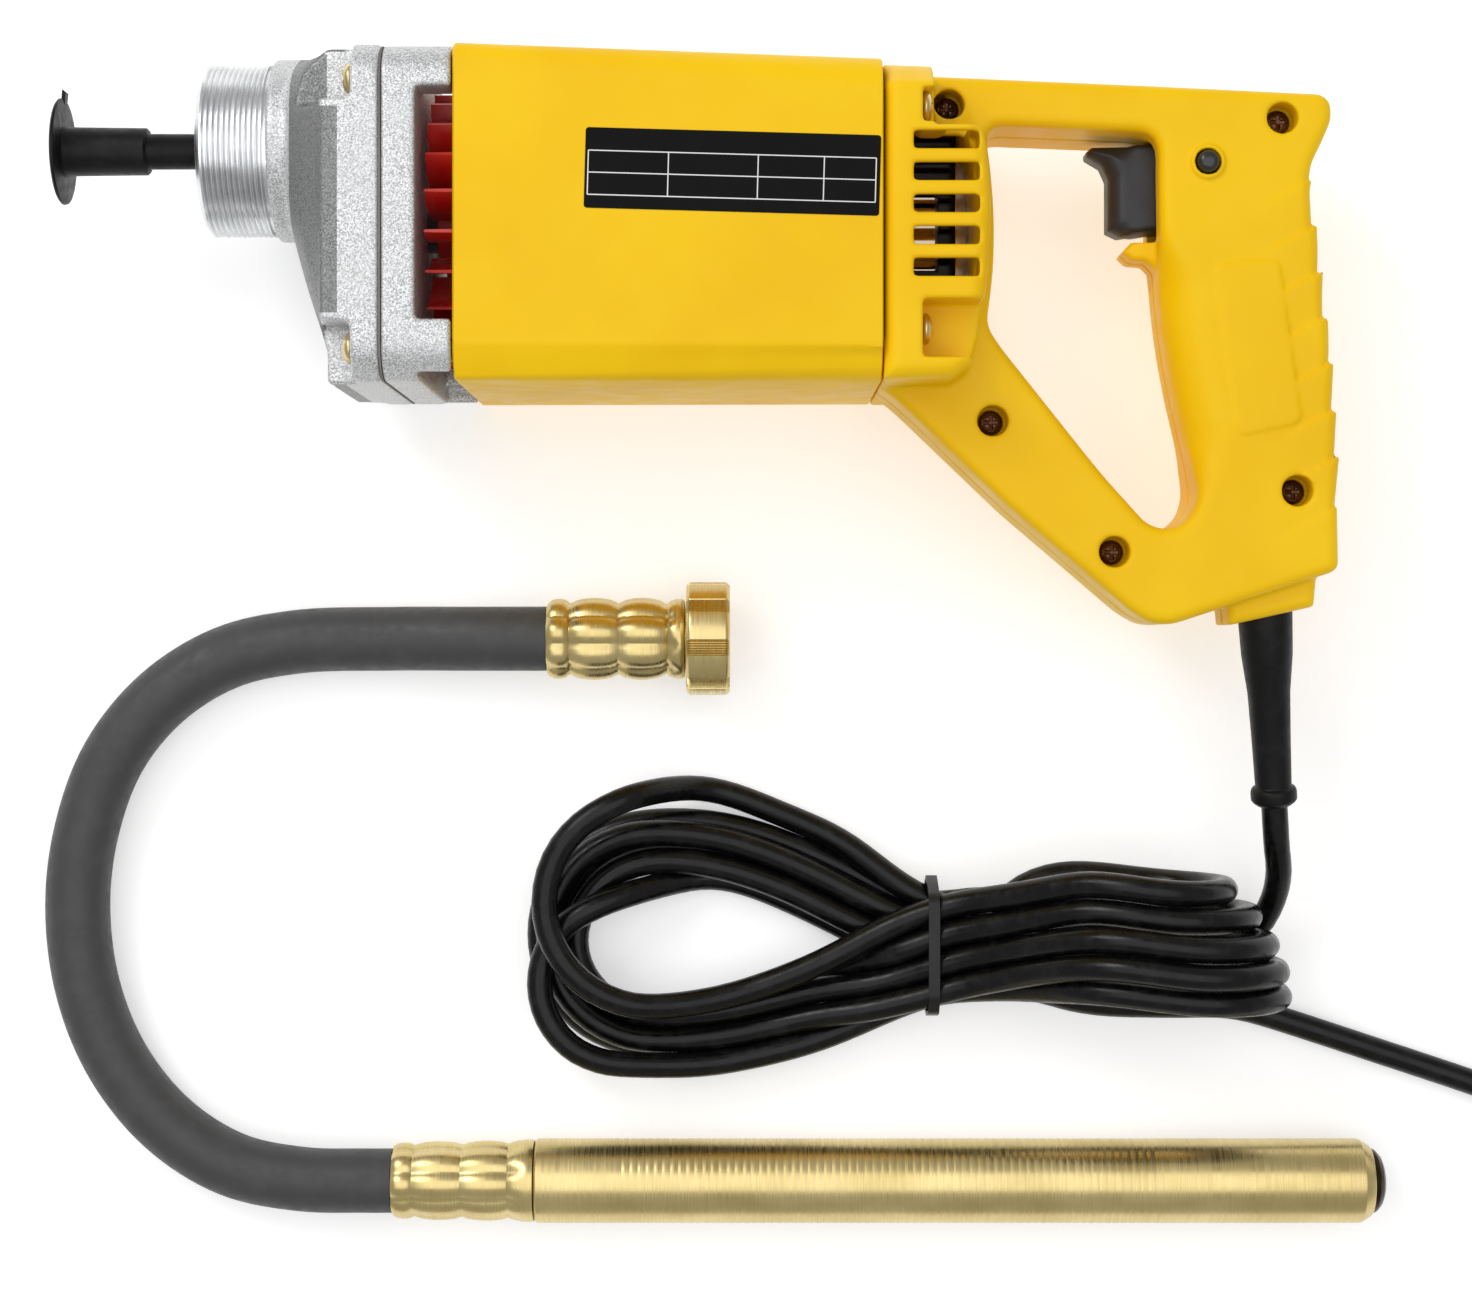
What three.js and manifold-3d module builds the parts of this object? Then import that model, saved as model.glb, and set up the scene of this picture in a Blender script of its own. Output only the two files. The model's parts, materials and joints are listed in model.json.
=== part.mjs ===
// A hand-held electric concrete vibrator, laid out flat with its parts apart.
//
// The motor unit lies on its side: gear case and threaded nose at -X, square
// barrel in the middle, D-handle at +X. The flexible shaft with its steel
// vibrating poker is uncoupled and lies beside it, and the mains cord is tied
// in a hank. Millimetres, +Z up. The origin is on the floor, under the middle
// of the box around the motor unit and the poker.

import * as THREE from 'three';
import { mergeVertices } from 'three/addons/utils/BufferGeometryUtils.js';
import Module from 'manifold-3d';

const wasm = await Module();
wasm.setup();

// ---------------------------------------------------------------- dimensions

const GAP = 0.3; // clearance kept between pieces that touch

// Motor unit: heights and axes
const MID_Z = 48; // mid-plane of the unit, half the barrel's width
const MOTOR_Y = 126.5; // armature axis
const GEAR_MODULE = 1;
const PINION_TEETH = 17;
const GEAR_TEETH = 32;
const NOSE_Y = MOTOR_Y + (GEAR_MODULE * (PINION_TEETH + GEAR_TEETH)) / 2;
const BODY_HALF = 48; // half the width of the square gear case and barrel
const BODY_CORNER = 11;

// Motor unit: stations along X, front to rear
const NOSE_FRONT = -158;
const THREAD_END = -137;
const COLLAR_END = -130.5;
const CASE_STEP = -112.5;
const CASE_JOINT = -101;
const WINDOW_START = -91;
const BARREL_FRONT = -80.5;
const BARREL_REAR = 41.7;
const SEAM = 42;

const THREAD_R = 25.6;
const COLLAR_R = 27;
const CASE_SCREW_OFFSET = 38.5; // from the motor axis, both ways

// Handle
const HANDLE_HALF = 20; // half the thickness of the D-handle
const HOUSING_HALF = 46; // half the thickness of the vented rear housing
const SHELL_WALL = 3;

// Flexible shaft and poker
const COUPLING_Y = 5;
const COUPLING_Z = 17.5;
const NUT_R = 17.5;
const HOSE_R = 10;
const POKER_Y = -164.3;
const POKER_R = 13;

// Mains cord
const CORD_R = 4;

// ----------------------------------------------------------------- finishes

const FINISH = {
  yellow: { color: '#f7cf1f', roughness: 0.45, metalness: 0 },
  cast: { color: '#b9bbbd', roughness: 0.55, metalness: 0.9 },
  steel: { color: '#a9acb0', roughness: 0.35, metalness: 1 },
  laminated: { color: '#6f7276', roughness: 0.5, metalness: 0.9 },
  copper: { color: '#b8683a', roughness: 0.4, metalness: 1 },
  brass: { color: '#d8bf73', roughness: 0.3, metalness: 1 },
  zinc: { color: '#c9b16a', roughness: 0.35, metalness: 1 },
  bronze: { color: '#5d4630', roughness: 0.4, metalness: 1 },
  black: { color: '#161616', roughness: 0.5, metalness: 0 },
  charcoal: { color: '#2c2d30', roughness: 0.6, metalness: 0 },
  rubber: { color: '#3f4040', roughness: 0.6, metalness: 0 },
  red: { color: '#c8201c', roughness: 0.4, metalness: 0 },
  label: { color: '#101010', roughness: 0.4, metalness: 0 },
  carbon: { color: '#2a2a2a', roughness: 0.8, metalness: 0 },
  fibre: { color: '#7c3b23', roughness: 0.7, metalness: 0 },
};

const group = new THREE.Group();

// ------------------------------------------------------------ solid helpers

/** A closed manifold-3d solid from a closed three.js geometry. */
function solidOf(geometry) {
  const bare = geometry.clone();
  bare.deleteAttribute('normal');
  bare.deleteAttribute('uv');
  const merged = mergeVertices(bare, 1e-4);
  const points = merged.attributes.position;
  const triangles = [];
  let volume = 0;
  for (let i = 0; i < merged.index.count; i += 3) {
    const [a, b, c] = [0, 1, 2].map((k) => merged.index.getX(i + k));
    if (a === b || b === c || c === a) continue;
    triangles.push(a, b, c);
    const [pa, pb, pc] = [a, b, c].map((k) => new THREE.Vector3().fromBufferAttribute(points, k));
    volume += pa.dot(pb.cross(pc));
  }
  if (volume < 0) triangles.reverse();
  return new wasm.Manifold(
    new wasm.Mesh({
      numProp: 3,
      vertProperties: new Float32Array(points.array),
      triVerts: new Uint32Array(triangles),
    }),
  );
}

/** A three.js geometry from a manifold-3d solid. */
function geometryOf(solid) {
  const mesh = solid.getMesh();
  const geometry = new THREE.BufferGeometry();
  geometry.setAttribute('position', new THREE.BufferAttribute(mesh.vertProperties, 3));
  geometry.setIndex(new THREE.BufferAttribute(mesh.triVerts, 1));
  geometry.computeVertexNormals();
  return geometry;
}

/** Adds one named sub-part to the model. */
function addPart(name, solid, finish) {
  const mesh = new THREE.Mesh(geometryOf(solid), new THREE.MeshStandardMaterial(FINISH[finish]));
  mesh.name = name;
  group.add(mesh);
}

const join = (...solids) => solids.reduce((whole, next) => whole.add(next));
const cut = (solid, ...tools) => tools.reduce((rest, tool) => rest.subtract(tool), solid);

// ------------------------------------------------------------ shape helpers

/** A closed outline through [u, v] points. */
const outline = (points) => new THREE.Shape(points.map(([u, v]) => new THREE.Vector2(u, v)));

/** A rectangle with round corners between two corners. */
function roundedRectangle(u0, v0, u1, v1, r) {
  const shape = new THREE.Shape();
  shape.absarc(u0 + r, v0 + r, r, Math.PI, 1.5 * Math.PI);
  shape.absarc(u1 - r, v0 + r, r, 1.5 * Math.PI, 2 * Math.PI);
  shape.absarc(u1 - r, v1 - r, r, 0, 0.5 * Math.PI);
  shape.absarc(u0 + r, v1 - r, r, 0.5 * Math.PI, Math.PI);
  return shape;
}

/** Turns local x, y, z into world Y, Z, X: a section in the YZ plane, extruded along X. */
const ALONG_X = new THREE.Matrix4().makeBasis(
  new THREE.Vector3(0, 1, 0),
  new THREE.Vector3(0, 0, 1),
  new THREE.Vector3(1, 0, 0),
);

/** An extrusion from low to high; bevel rounds or chamfers its two edges, inside the outline. */
function extruded(shape, low, high, { bevel = 0, steps = 2, curveSegments = 3 } = {}) {
  const geometry = new THREE.ExtrudeGeometry(shape, {
    depth: high - low - 2 * bevel,
    bevelEnabled: bevel > 0,
    bevelThickness: bevel,
    bevelSize: bevel,
    bevelOffset: -bevel,
    bevelSegments: steps,
    curveSegments,
  });
  return geometry.translate(0, 0, low + bevel);
}

/** An XY outline standing between two heights. */
const plate = (shape, low, high, options) => solidOf(extruded(shape, low, high, options));

/** A YZ outline running between two stations along X. */
const beam = (shape, front, rear, options) =>
  solidOf(extruded(shape, front, rear, options).applyMatrix4(ALONG_X));

/** A box between two corners. */
function box(x0, x1, y0, y1, z0, z1) {
  const geometry = new THREE.BoxGeometry(x1 - x0, y1 - y0, z1 - z0);
  return solidOf(geometry.translate((x0 + x1) / 2, (y0 + y1) / 2, (z0 + z1) / 2));
}

/** A lathe of [station, radius] points about the line through (y, z) parallel to X. */
function turned(profile, y, z, sides = 16) {
  const points = profile.map(([station, radius]) => new THREE.Vector2(radius, station));
  const geometry = new THREE.LatheGeometry(points, sides);
  geometry.applyMatrix4(
    new THREE.Matrix4().makeBasis(
      new THREE.Vector3(0, 0, 1),
      new THREE.Vector3(1, 0, 0),
      new THREE.Vector3(0, 1, 0),
    ),
  );
  return solidOf(geometry.translate(0, y, z));
}

/** A lathe of [height, radius] points about the vertical through (x, y). */
function turnedUpright(profile, x, y, sides = 12) {
  const points = profile.map(([height, radius]) => new THREE.Vector2(radius, height));
  const geometry = new THREE.LatheGeometry(points, sides);
  return solidOf(geometry.rotateX(Math.PI / 2).translate(x, y, 0));
}

/** A lathe of [distance, radius] points along a line from a start point. */
function turnedAlong(profile, start, direction, sides = 16) {
  const points = profile.map(([distance, radius]) => new THREE.Vector2(radius, distance));
  const turn = new THREE.Quaternion().setFromUnitVectors(new THREE.Vector3(0, 1, 0), direction);
  const geometry = new THREE.LatheGeometry(points, sides);
  geometry.applyQuaternion(turn);
  return solidOf(geometry.translate(start.x, start.y, start.z));
}

const rodAlongX = (front, rear, r, y, z, sides) =>
  turned([[front, 0], [front, r], [rear, r], [rear, 0]], y, z, sides);

const rodUpright = (low, high, r, x, y, sides) =>
  turnedUpright([[low, 0], [low, r], [high, r], [high, 0]], x, y, sides);

const ringAlongX = (front, rear, inner, outer, y, z, sides) =>
  turned([[front, inner], [front, outer], [rear, outer], [rear, inner], [front, inner]], y, z, sides);

/** A round tube along a smooth curve through [x, y, z] points. */
function tube(points, radius, steps, sides = 8) {
  const path = new THREE.CatmullRomCurve3(points.map((p) => new THREE.Vector3(...p)));
  const section = new THREE.Shape();
  for (let i = 0; i < sides; i += 1) {
    const angle = (2 * Math.PI * i) / sides;
    const corner = [radius * Math.cos(angle), radius * Math.sin(angle)];
    if (i === 0) section.moveTo(...corner);
    else section.lineTo(...corner);
  }
  section.closePath();
  return solidOf(new THREE.ExtrudeGeometry(section, { steps, extrudePath: path }));
}

/** The square body section about the motor axis, grown or shrunk by an inset. */
const bodySection = (inset = 0) =>
  roundedRectangle(
    MOTOR_Y - BODY_HALF + inset,
    inset,
    MOTOR_Y + BODY_HALF - inset,
    2 * MID_Z - inset,
    BODY_CORNER - inset / 2,
  );

/** Scales the rear of a solid's geometry in Y and Z, straight from station to station. */
function taper(geometry, fixed, moved, { aboutY, aboutZ, scaleY, scaleZ }) {
  const points = geometry.attributes.position;
  for (let i = 0; i < points.count; i += 1) {
    const t = (points.getX(i) - fixed) / (moved - fixed);
    const along = THREE.MathUtils.clamp(t, 0, 1);
    const [y, z] = [points.getY(i), points.getZ(i)];
    points.setY(i, aboutY + (y - aboutY) * (1 + (scaleY - 1) * along));
    points.setZ(i, aboutZ + (z - aboutZ) * (1 + (scaleZ - 1) * along));
  }
  return geometry;
}

/** The outline of a spur gear with involute flanks. */
function gearOutline(teeth, backlash = 0.12) {
  const pressure = THREE.MathUtils.degToRad(20);
  const pitch = (GEAR_MODULE * teeth) / 2;
  const base = pitch * Math.cos(pressure);
  const root = pitch - 1.25 * GEAR_MODULE;
  const tip = pitch + 0.95 * GEAR_MODULE;
  const involute = (angle) => Math.tan(angle) - angle;
  const halfAngle = (r) => {
    const local = Math.acos(Math.min(1, base / Math.max(r, base)));
    const atPitch = Math.PI / (2 * teeth) - backlash / pitch;
    return atPitch + involute(pressure) - involute(local);
  };
  const radii = [root, pitch, tip];
  const points = [];
  for (let tooth = 0; tooth < teeth; tooth += 1) {
    const centre = (2 * Math.PI * tooth) / teeth;
    for (const r of radii) points.push([r, centre - halfAngle(r)]);
    for (const r of radii.toReversed()) points.push([r, centre + halfAngle(r)]);
  }
  return points.map(([r, angle]) => [r * Math.cos(angle), r * Math.sin(angle)]);
}

/** A spur gear about the line through (y, z) parallel to X, one tooth at angle `phase`. */
function spurGear(teeth, front, rear, y, z, phase) {
  const geometry = extruded(outline(gearOutline(teeth)), front, rear);
  return solidOf(geometry.rotateZ(phase).applyMatrix4(ALONG_X).translate(0, y, z));
}

// ------------------------------------------------------------ the gear case

const CASE_SCREWS = [-1, 1].flatMap((side) =>
  [-1, 1].map((level) => ({
    y: MOTOR_Y + side * CASE_SCREW_OFFSET,
    z: MID_Z + level * CASE_SCREW_OFFSET,
  })),
);
const CASE_SCREW_SEAT = -110.5;
const CASE_SCREW_HEAD = { r: 4.6, height: 3.2 };
const CASE_SCREW_R = 2.2;
const CASE_SCREW_END = -86;

const GEAR_FRONT = -119;
const GEAR_REAR = -107;
const SPINDLE_BEARING = { front: -135, rear: -124, outer: 17.5, inner: 7.5 };
const SPINDLE_TAIL_BEARING = { front: -105.5, rear: -99.5, outer: 9.5, inner: 5 };
const ARMATURE_BEARING = { front: -99, rear: -91.3, outer: 13, inner: 6 };
const ARMATURE_TAIL_BEARING = { front: 34.6, rear: 41.3, outer: 11, inner: 4 };

/** Cast front half: flange, dome towards the nose, cast collar and threaded nose. */
function gearCaseFront() {
  const flange = beam(bodySection(), CASE_STEP, CASE_JOINT - 0.55);
  const dome = solidOf(
    taper(
      extruded(bodySection(), COLLAR_END, CASE_STEP + 0.01).applyMatrix4(ALONG_X),
      CASE_STEP,
      COLLAR_END,
      { aboutY: MOTOR_Y + BODY_HALF - 3, aboutZ: MID_Z, scaleY: 0.54, scaleZ: 0.58 },
    ),
  );
  const nose = turned(
    [
      [NOSE_FRONT, 0], [NOSE_FRONT, THREAD_R - 1.6], [NOSE_FRONT + 1.6, THREAD_R],
      [THREAD_END, THREAD_R], [THREAD_END, COLLAR_R], [COLLAR_END, COLLAR_R],
      [CASE_STEP, COLLAR_R - 4], [CASE_STEP, 0],
    ],
    NOSE_Y, MID_Z, 28,
  );
  const pockets = CASE_SCREWS.map(({ y, z }) => {
    const [outY, outZ] = [Math.sign(y - MOTOR_Y), Math.sign(z - MID_Z)];
    const edge = 16;
    const [y0, y1] = [y - 7 * outY, y + edge * outY].sort((a, b) => a - b);
    const [z0, z1] = [z - 7 * outZ, z + edge * outZ].sort((a, b) => a - b);
    return box(COLLAR_END - 8, CASE_SCREW_SEAT, y0, y1, z0, z1);
  });
  const holes = CASE_SCREWS.map(({ y, z }) =>
    rodAlongX(CASE_SCREW_SEAT - 2, CASE_JOINT + 2, CASE_SCREW_R + GAP, y, z, 12),
  );
  const gearRoom = join(
    rodAlongX(-121, CASE_JOINT + 1, 19, NOSE_Y, MID_Z),
    rodAlongX(-121, CASE_JOINT + 1, 12, MOTOR_Y, MID_Z),
  );
  const bore = turned(
    [
      [NOSE_FRONT - 1, 0], [NOSE_FRONT - 1, 15], [SPINDLE_BEARING.front - 5, 15],
      [SPINDLE_BEARING.front - 5, SPINDLE_BEARING.outer + GAP],
      [SPINDLE_BEARING.rear + GAP, SPINDLE_BEARING.outer + GAP],
      [SPINDLE_BEARING.rear + GAP, 12], [-120, 12], [-120, 0],
    ],
    NOSE_Y, MID_Z,
  );
  return cut(join(flange, dome, nose), ...pockets, ...holes, gearRoom, bore);
}
addPart('gear_case_front', gearCaseFront(), 'cast');

/** Thin paper gasket in the joint of the two castings. */
function caseGasket() {
  const sheet = beam(bodySection(), CASE_JOINT - 0.25, CASE_JOINT + 0.25);
  const room = beam(bodySection(9), CASE_JOINT - 1, CASE_JOINT + 1);
  const holes = CASE_SCREWS.map(({ y, z }) =>
    rodAlongX(CASE_JOINT - 1, CASE_JOINT + 1, CASE_SCREW_R + GAP, y, z, 12),
  );
  return cut(sheet, room, ...holes);
}
addPart('case_gasket', caseGasket(), 'fibre');

/** Cast rear half: bearing plate and four corner posts between the fan windows. */
function gearCaseRear() {
  const block = beam(bodySection(), CASE_JOINT + 0.55, BARREL_FRONT - GAP);
  const fanRoom = rodAlongX(WINDOW_START, BARREL_FRONT + 1, 43.5, MOTOR_Y, MID_Z, 32);
  const sideWindow = box(WINDOW_START, BARREL_FRONT + 1, MOTOR_Y - 31, MOTOR_Y + 35, -1, 97);
  const endWindow = box(WINDOW_START, BARREL_FRONT + 1, 60, 190, MID_Z - 29, MID_Z + 29);
  const seats = join(
    rodAlongX(ARMATURE_BEARING.front, WINDOW_START + 1, ARMATURE_BEARING.outer + GAP, MOTOR_Y, MID_Z),
    rodAlongX(CASE_JOINT - 1, WINDOW_START + 1, 10.2, MOTOR_Y, MID_Z),
  );
  const tailSeat = rodAlongX(
    CASE_JOINT - 1, SPINDLE_TAIL_BEARING.rear + GAP, SPINDLE_TAIL_BEARING.outer + GAP, NOSE_Y, MID_Z,
  );
  const tailRoom = rodAlongX(CASE_JOINT - 1, -95.5, 6.5, NOSE_Y, MID_Z);
  const holes = CASE_SCREWS.map(({ y, z }) =>
    rodAlongX(CASE_JOINT - 1, CASE_SCREW_END + 1, CASE_SCREW_R + GAP, y, z, 12),
  );
  return cut(block, fanRoom, sideWindow, endWindow, seats, tailSeat, tailRoom, ...holes);
}
addPart('gear_case_rear', gearCaseRear(), 'cast');

CASE_SCREWS.forEach(({ y, z }, i) => {
  const head = CASE_SCREW_SEAT - GAP;
  const screw = turned(
    [
      [head - CASE_SCREW_HEAD.height, 0], [head - CASE_SCREW_HEAD.height, 2.8],
      [head - 1.4, CASE_SCREW_HEAD.r], [head, CASE_SCREW_HEAD.r],
      [head, CASE_SCREW_R], [CASE_SCREW_END, CASE_SCREW_R], [CASE_SCREW_END, 0],
    ],
    y, z, 12,
  );
  addPart(`case_screw_${i + 1}`, screw, 'zinc');
});

// ------------------------------------------------- spindle and its bearings

/** A ball bearing as one plain ring. */
const bearing = ({ front, rear, outer, inner }, y, z) =>
  ringAlongX(front, rear, inner + GAP / 2, outer, y, z);

addPart('spindle_bearing_front', bearing(SPINDLE_BEARING, NOSE_Y, MID_Z), 'steel');
addPart('spindle_bearing_rear', bearing(SPINDLE_TAIL_BEARING, NOSE_Y, MID_Z), 'steel');
addPart('armature_bearing_front', bearing(ARMATURE_BEARING, MOTOR_Y, MID_Z), 'steel');
addPart('armature_bearing_rear', bearing(ARMATURE_TAIL_BEARING, MOTOR_Y, MID_Z), 'steel');

addPart(
  'spindle_seal',
  ringAlongX(-139.4, SPINDLE_BEARING.front - GAP, 9 + 0.2, SPINDLE_BEARING.outer, NOSE_Y, MID_Z),
  'black',
);

const SOCKET_FRONT = -152;
const SOCKET_BORE = 5.7;
const SOCKET_END = -128;

/** Output spindle: a drive socket in the nose, then steps for gear and bearings. */
addPart(
  'output_spindle',
  turned(
    [
      [SOCKET_END, 0], [SOCKET_END, SOCKET_BORE], [SOCKET_FRONT, SOCKET_BORE], [SOCKET_FRONT, 9],
      [-135.2, 9], [-135.2, 7.5], [GEAR_REAR + 0.9, 7.5], [GEAR_REAR + 0.9, 5], [-97, 5], [-97, 0],
    ],
    NOSE_Y, MID_Z,
  ),
  'steel',
);

addPart(
  'output_gear',
  cut(
    spurGear(GEAR_TEETH, GEAR_FRONT, GEAR_REAR, NOSE_Y, MID_Z, Math.PI / GEAR_TEETH),
    rodAlongX(GEAR_FRONT - 1, GEAR_REAR + 1, 7.55, NOSE_Y, MID_Z),
  ),
  'steel',
);

// ---------------------------------------------------------------- armature

/** Armature shaft with the pinion cut on its front end. */
function armatureShaft() {
  const shaft = turned(
    [
      [GEAR_REAR, 0], [GEAR_REAR, 6], [-57, 6], [-57, 7], [33, 7], [33, 4], [41, 4], [41, 0],
    ],
    MOTOR_Y, MID_Z,
  );
  return join(shaft, spurGear(PINION_TEETH, GEAR_FRONT, GEAR_REAR + 1, MOTOR_Y, MID_Z, 0));
}
addPart('armature_shaft', armatureShaft(), 'steel');

/** Laminated core with its slots, and the bound winding heads at both ends. */
function armatureCore() {
  const core = rodAlongX(-50, 0, 22, MOTOR_Y, MID_Z, 32);
  const slots = Array.from({ length: 12 }, (_, i) => {
    const slot = new THREE.BoxGeometry(52, 1.6, 3).translate(-25, 0, 21.5);
    return solidOf(slot.rotateX((2 * Math.PI * i) / 12).translate(0, MOTOR_Y, MID_Z));
  });
  const head = (front, rear) => rodAlongX(front, rear, 16.5, MOTOR_Y, MID_Z, 20);
  const bore = rodAlongX(-60, 12, 7 + GAP, MOTOR_Y, MID_Z);
  return cut(join(cut(core, ...slots), head(-56.5, -49), head(-1, 10)), bore);
}
addPart('armature_core', armatureCore(), 'laminated');

addPart('commutator', ringAlongX(14, 31, 7 + GAP, 14, MOTOR_Y, MID_Z), 'copper');

const FAN_BLADES = 22;

/** Radial fan: hub, back plate and straight blades that show in the windows. */
function coolingFan() {
  const disc = turned(
    [
      [-88.5, 6.05], [-88.5, 11], [-79.5, 11], [-79.5, 41], [-77.5, 41], [-77.5, 6.05], [-88.5, 6.05],
    ],
    MOTOR_Y, MID_Z, 32,
  );
  const blades = Array.from({ length: FAN_BLADES }, (_, i) => {
    const blade = new THREE.BoxGeometry(10.3, 1.3, 19).translate(-84.15, 0, 31.3);
    return solidOf(blade.rotateX((2 * Math.PI * i) / FAN_BLADES).translate(0, MOTOR_Y, MID_Z));
  });
  return join(disc, ...blades);
}
addPart('cooling_fan', coolingFan(), 'red');

// ------------------------------------------------------------------- barrel

const LABEL = { x: -1, y: 137, width: 83.6, height: 22.8, turn: THREE.MathUtils.degToRad(-1.6) };
const HOUSING_SCREWS = [-1, 1].flatMap((side) =>
  [-1, 1].map((level) => ({ y: MOTOR_Y + (side > 0 ? 30.5 : -33), z: MID_Z + level * 38 })),
);
const HOUSING_SCREW_R = 2;

/** A rounded label outline, turned the little way the label is on the side face. */
function labelPlate(grow, low, high) {
  const [w, h] = [LABEL.width / 2 + grow, LABEL.height / 2 + grow];
  const geometry = extruded(roundedRectangle(-w, -h, w, h, 1), low, high, { curveSegments: 2 });
  return solidOf(geometry.rotateZ(LABEL.turn).translate(LABEL.x, LABEL.y, 0));
}

const BARREL_DROP = 0.963; // height of the rear end as a share of the front's

const barrelTaper = (geometry) =>
  taper(geometry, BARREL_FRONT, SEAM, {
    aboutY: MOTOR_Y - BODY_HALF,
    aboutZ: MID_Z,
    scaleY: BARREL_DROP,
    scaleZ: 1,
  });

/** Square moulded barrel with the rear bulkhead that holds the tail bearing. */
function barrelHousing() {
  const section = (inset, front, rear) =>
    solidOf(barrelTaper(extruded(bodySection(inset), front, rear).applyMatrix4(ALONG_X)));
  const walls = cut(
    section(0, BARREL_FRONT, BARREL_REAR),
    section(SHELL_WALL, BARREL_FRONT - 1, 37),
    section(SHELL_WALL + 7, 36, BARREL_REAR + 1),
  );
  const spider = join(
    box(37.5, BARREL_REAR, MOTOR_Y - BODY_HALF + 4, MOTOR_Y + BODY_HALF - 8, MID_Z - 7, MID_Z + 7),
    rodAlongX(33, BARREL_REAR, 14.5, MOTOR_Y, MID_Z),
  );
  const seat = rodAlongX(
    ARMATURE_TAIL_BEARING.front - GAP, BARREL_REAR + 1, ARMATURE_TAIL_BEARING.outer + GAP,
    MOTOR_Y, MID_Z,
  );
  const shaftHole = rodAlongX(32, BARREL_REAR, 8, MOTOR_Y, MID_Z);
  const screwHoles = HOUSING_SCREWS.map(({ y, z }) =>
    rodAlongX(30, BARREL_REAR + 1, HOUSING_SCREW_R + GAP, y, z, 12),
  );
  const labelRecess = labelPlate(GAP, 2 * MID_Z - 0.8, 2 * MID_Z + 1);
  return cut(join(walls, spider), seat, shaftHole, ...screwHoles, labelRecess);
}
addPart('barrel_housing', barrelHousing(), 'yellow');
addPart('name_plate', labelPlate(0, 2 * MID_Z - 0.5, 2 * MID_Z - 0.1), 'label');

/** Stator: round yoke with two poles, one above and one below the armature. */
function statorCore() {
  const yoke = ringAlongX(-50, 0, 35.5, 42, MOTOR_Y, MID_Z, 32);
  const poles = cut(
    join(
      box(-50, 0, MOTOR_Y + 10, MOTOR_Y + 37, MID_Z - 18, MID_Z + 18),
      box(-50, 0, MOTOR_Y - 37, MOTOR_Y - 10, MID_Z - 18, MID_Z + 18),
    ),
    rodAlongX(-51, 1, 22.9, MOTOR_Y, MID_Z, 32),
  );
  return join(yoke, poles);
}
addPart('stator_core', statorCore(), 'laminated');

[1, -1].forEach((side, i) => {
  const [near, far] = [MOTOR_Y + side * 18.5, MOTOR_Y + side * 24].sort((a, b) => a - b);
  const ring = new THREE.Shape([
    new THREE.Vector2(-58, MID_Z - 25), new THREE.Vector2(8, MID_Z - 25),
    new THREE.Vector2(8, MID_Z + 25), new THREE.Vector2(-58, MID_Z + 25),
  ]);
  ring.holes.push(
    new THREE.Path([
      new THREE.Vector2(-50.6, MID_Z - 18.6), new THREE.Vector2(0.6, MID_Z - 18.6),
      new THREE.Vector2(0.6, MID_Z + 18.6), new THREE.Vector2(-50.6, MID_Z + 18.6),
    ]),
  );
  // Local y becomes world Z and local z becomes world -Y.
  const geometry = extruded(ring, -far, -near).rotateX(Math.PI / 2);
  addPart(`field_coil_${i + 1}`, solidOf(geometry), 'copper');
});

[1, -1].forEach((side, i) => {
  const between = (a, b) => [MID_Z + side * a, MID_Z + side * b].sort((p, q) => p - q);
  const brush = box(19, 26, MOTOR_Y - 4, MOTOR_Y + 4, ...between(14.3, 32));
  const holder = cut(
    box(16.5, 28.5, MOTOR_Y - 6.5, MOTOR_Y + 6.5, ...between(17, 41)),
    box(19 - GAP, 26 + GAP, MOTOR_Y - 4 - GAP, MOTOR_Y + 4 + GAP, ...between(16, 39)),
  );
  const slot = box(20, 30, MOTOR_Y - 1, MOTOR_Y + 1, ...between(24, 42));
  addPart(`carbon_brush_${i + 1}`, brush, 'carbon');
  addPart(`brush_holder_${i + 1}`, cut(holder, slot), 'brass');
});

// ------------------------------------------------------------------- handle

/** Outer edge of the D-handle, from the seam over the top and round the grip. */
const HANDLE_OUTLINE = [
  [SEAM, 170.8], [120, 167.4], [172, 164.9], [174.6, 162.5], [175, 157.5], [172, 150.5], [169, 144.5],
  [168, 137], [171, 119.5], [172.4, 104.5], [174.6, 89.5], [176.4, 60.5], [177, 25],
  [128, 9], [122, 9.4], [116, 12.8], [80, 43.6], [52, 70.4], [46.5, 75.5], [SEAM, 78.6],
];

/** Inner edge of the D: under the top bar, down the grip and up the strut. */
const OPENING_OUTLINE = [
  [73, 155.6], [124.3, 153.6], [124.2, 139], [125, 108.5], [126.6, 93], [129.3, 77.8], [133, 62.5],
  [136, 48.5], [134.6, 42.4], [130.5, 38.2], [125.5, 37], [120.5, 38.8], [107, 53.8], [92.4, 72.2],
  [77.8, 90.6], [73.6, 97], [75.6, 112], [76, 127], [75, 142],
];

/** The vented housing behind the barrel, with its bowed rear edge. */
const HOUSING_OUTLINE = [
  [SEAM, 170.8], [64, 169.6], [67.6, 160.5], [71.4, 145], [72.7, 127], [71.6, 108], [69.6, 92],
  [67, 82.5], [62, 79], [SEAM, 78.6],
];

const SHELL_SCREWS = [[62.3, 161.3], [160.2, 157.6], [75.3, 68.8], [111, 30.4], [164.6, 48.3]];
const SHELL_SCREW = { headZ: 58, headR: 3.6, shankR: 1.8, end: 34 };
const COUNTERBORE_R = 4.6;

const TRIGGER_HALF = 9;
const LOCK_BUTTON = { x: 138.2, y: 144.6, r: 3.5, ring: 5 };

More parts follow.
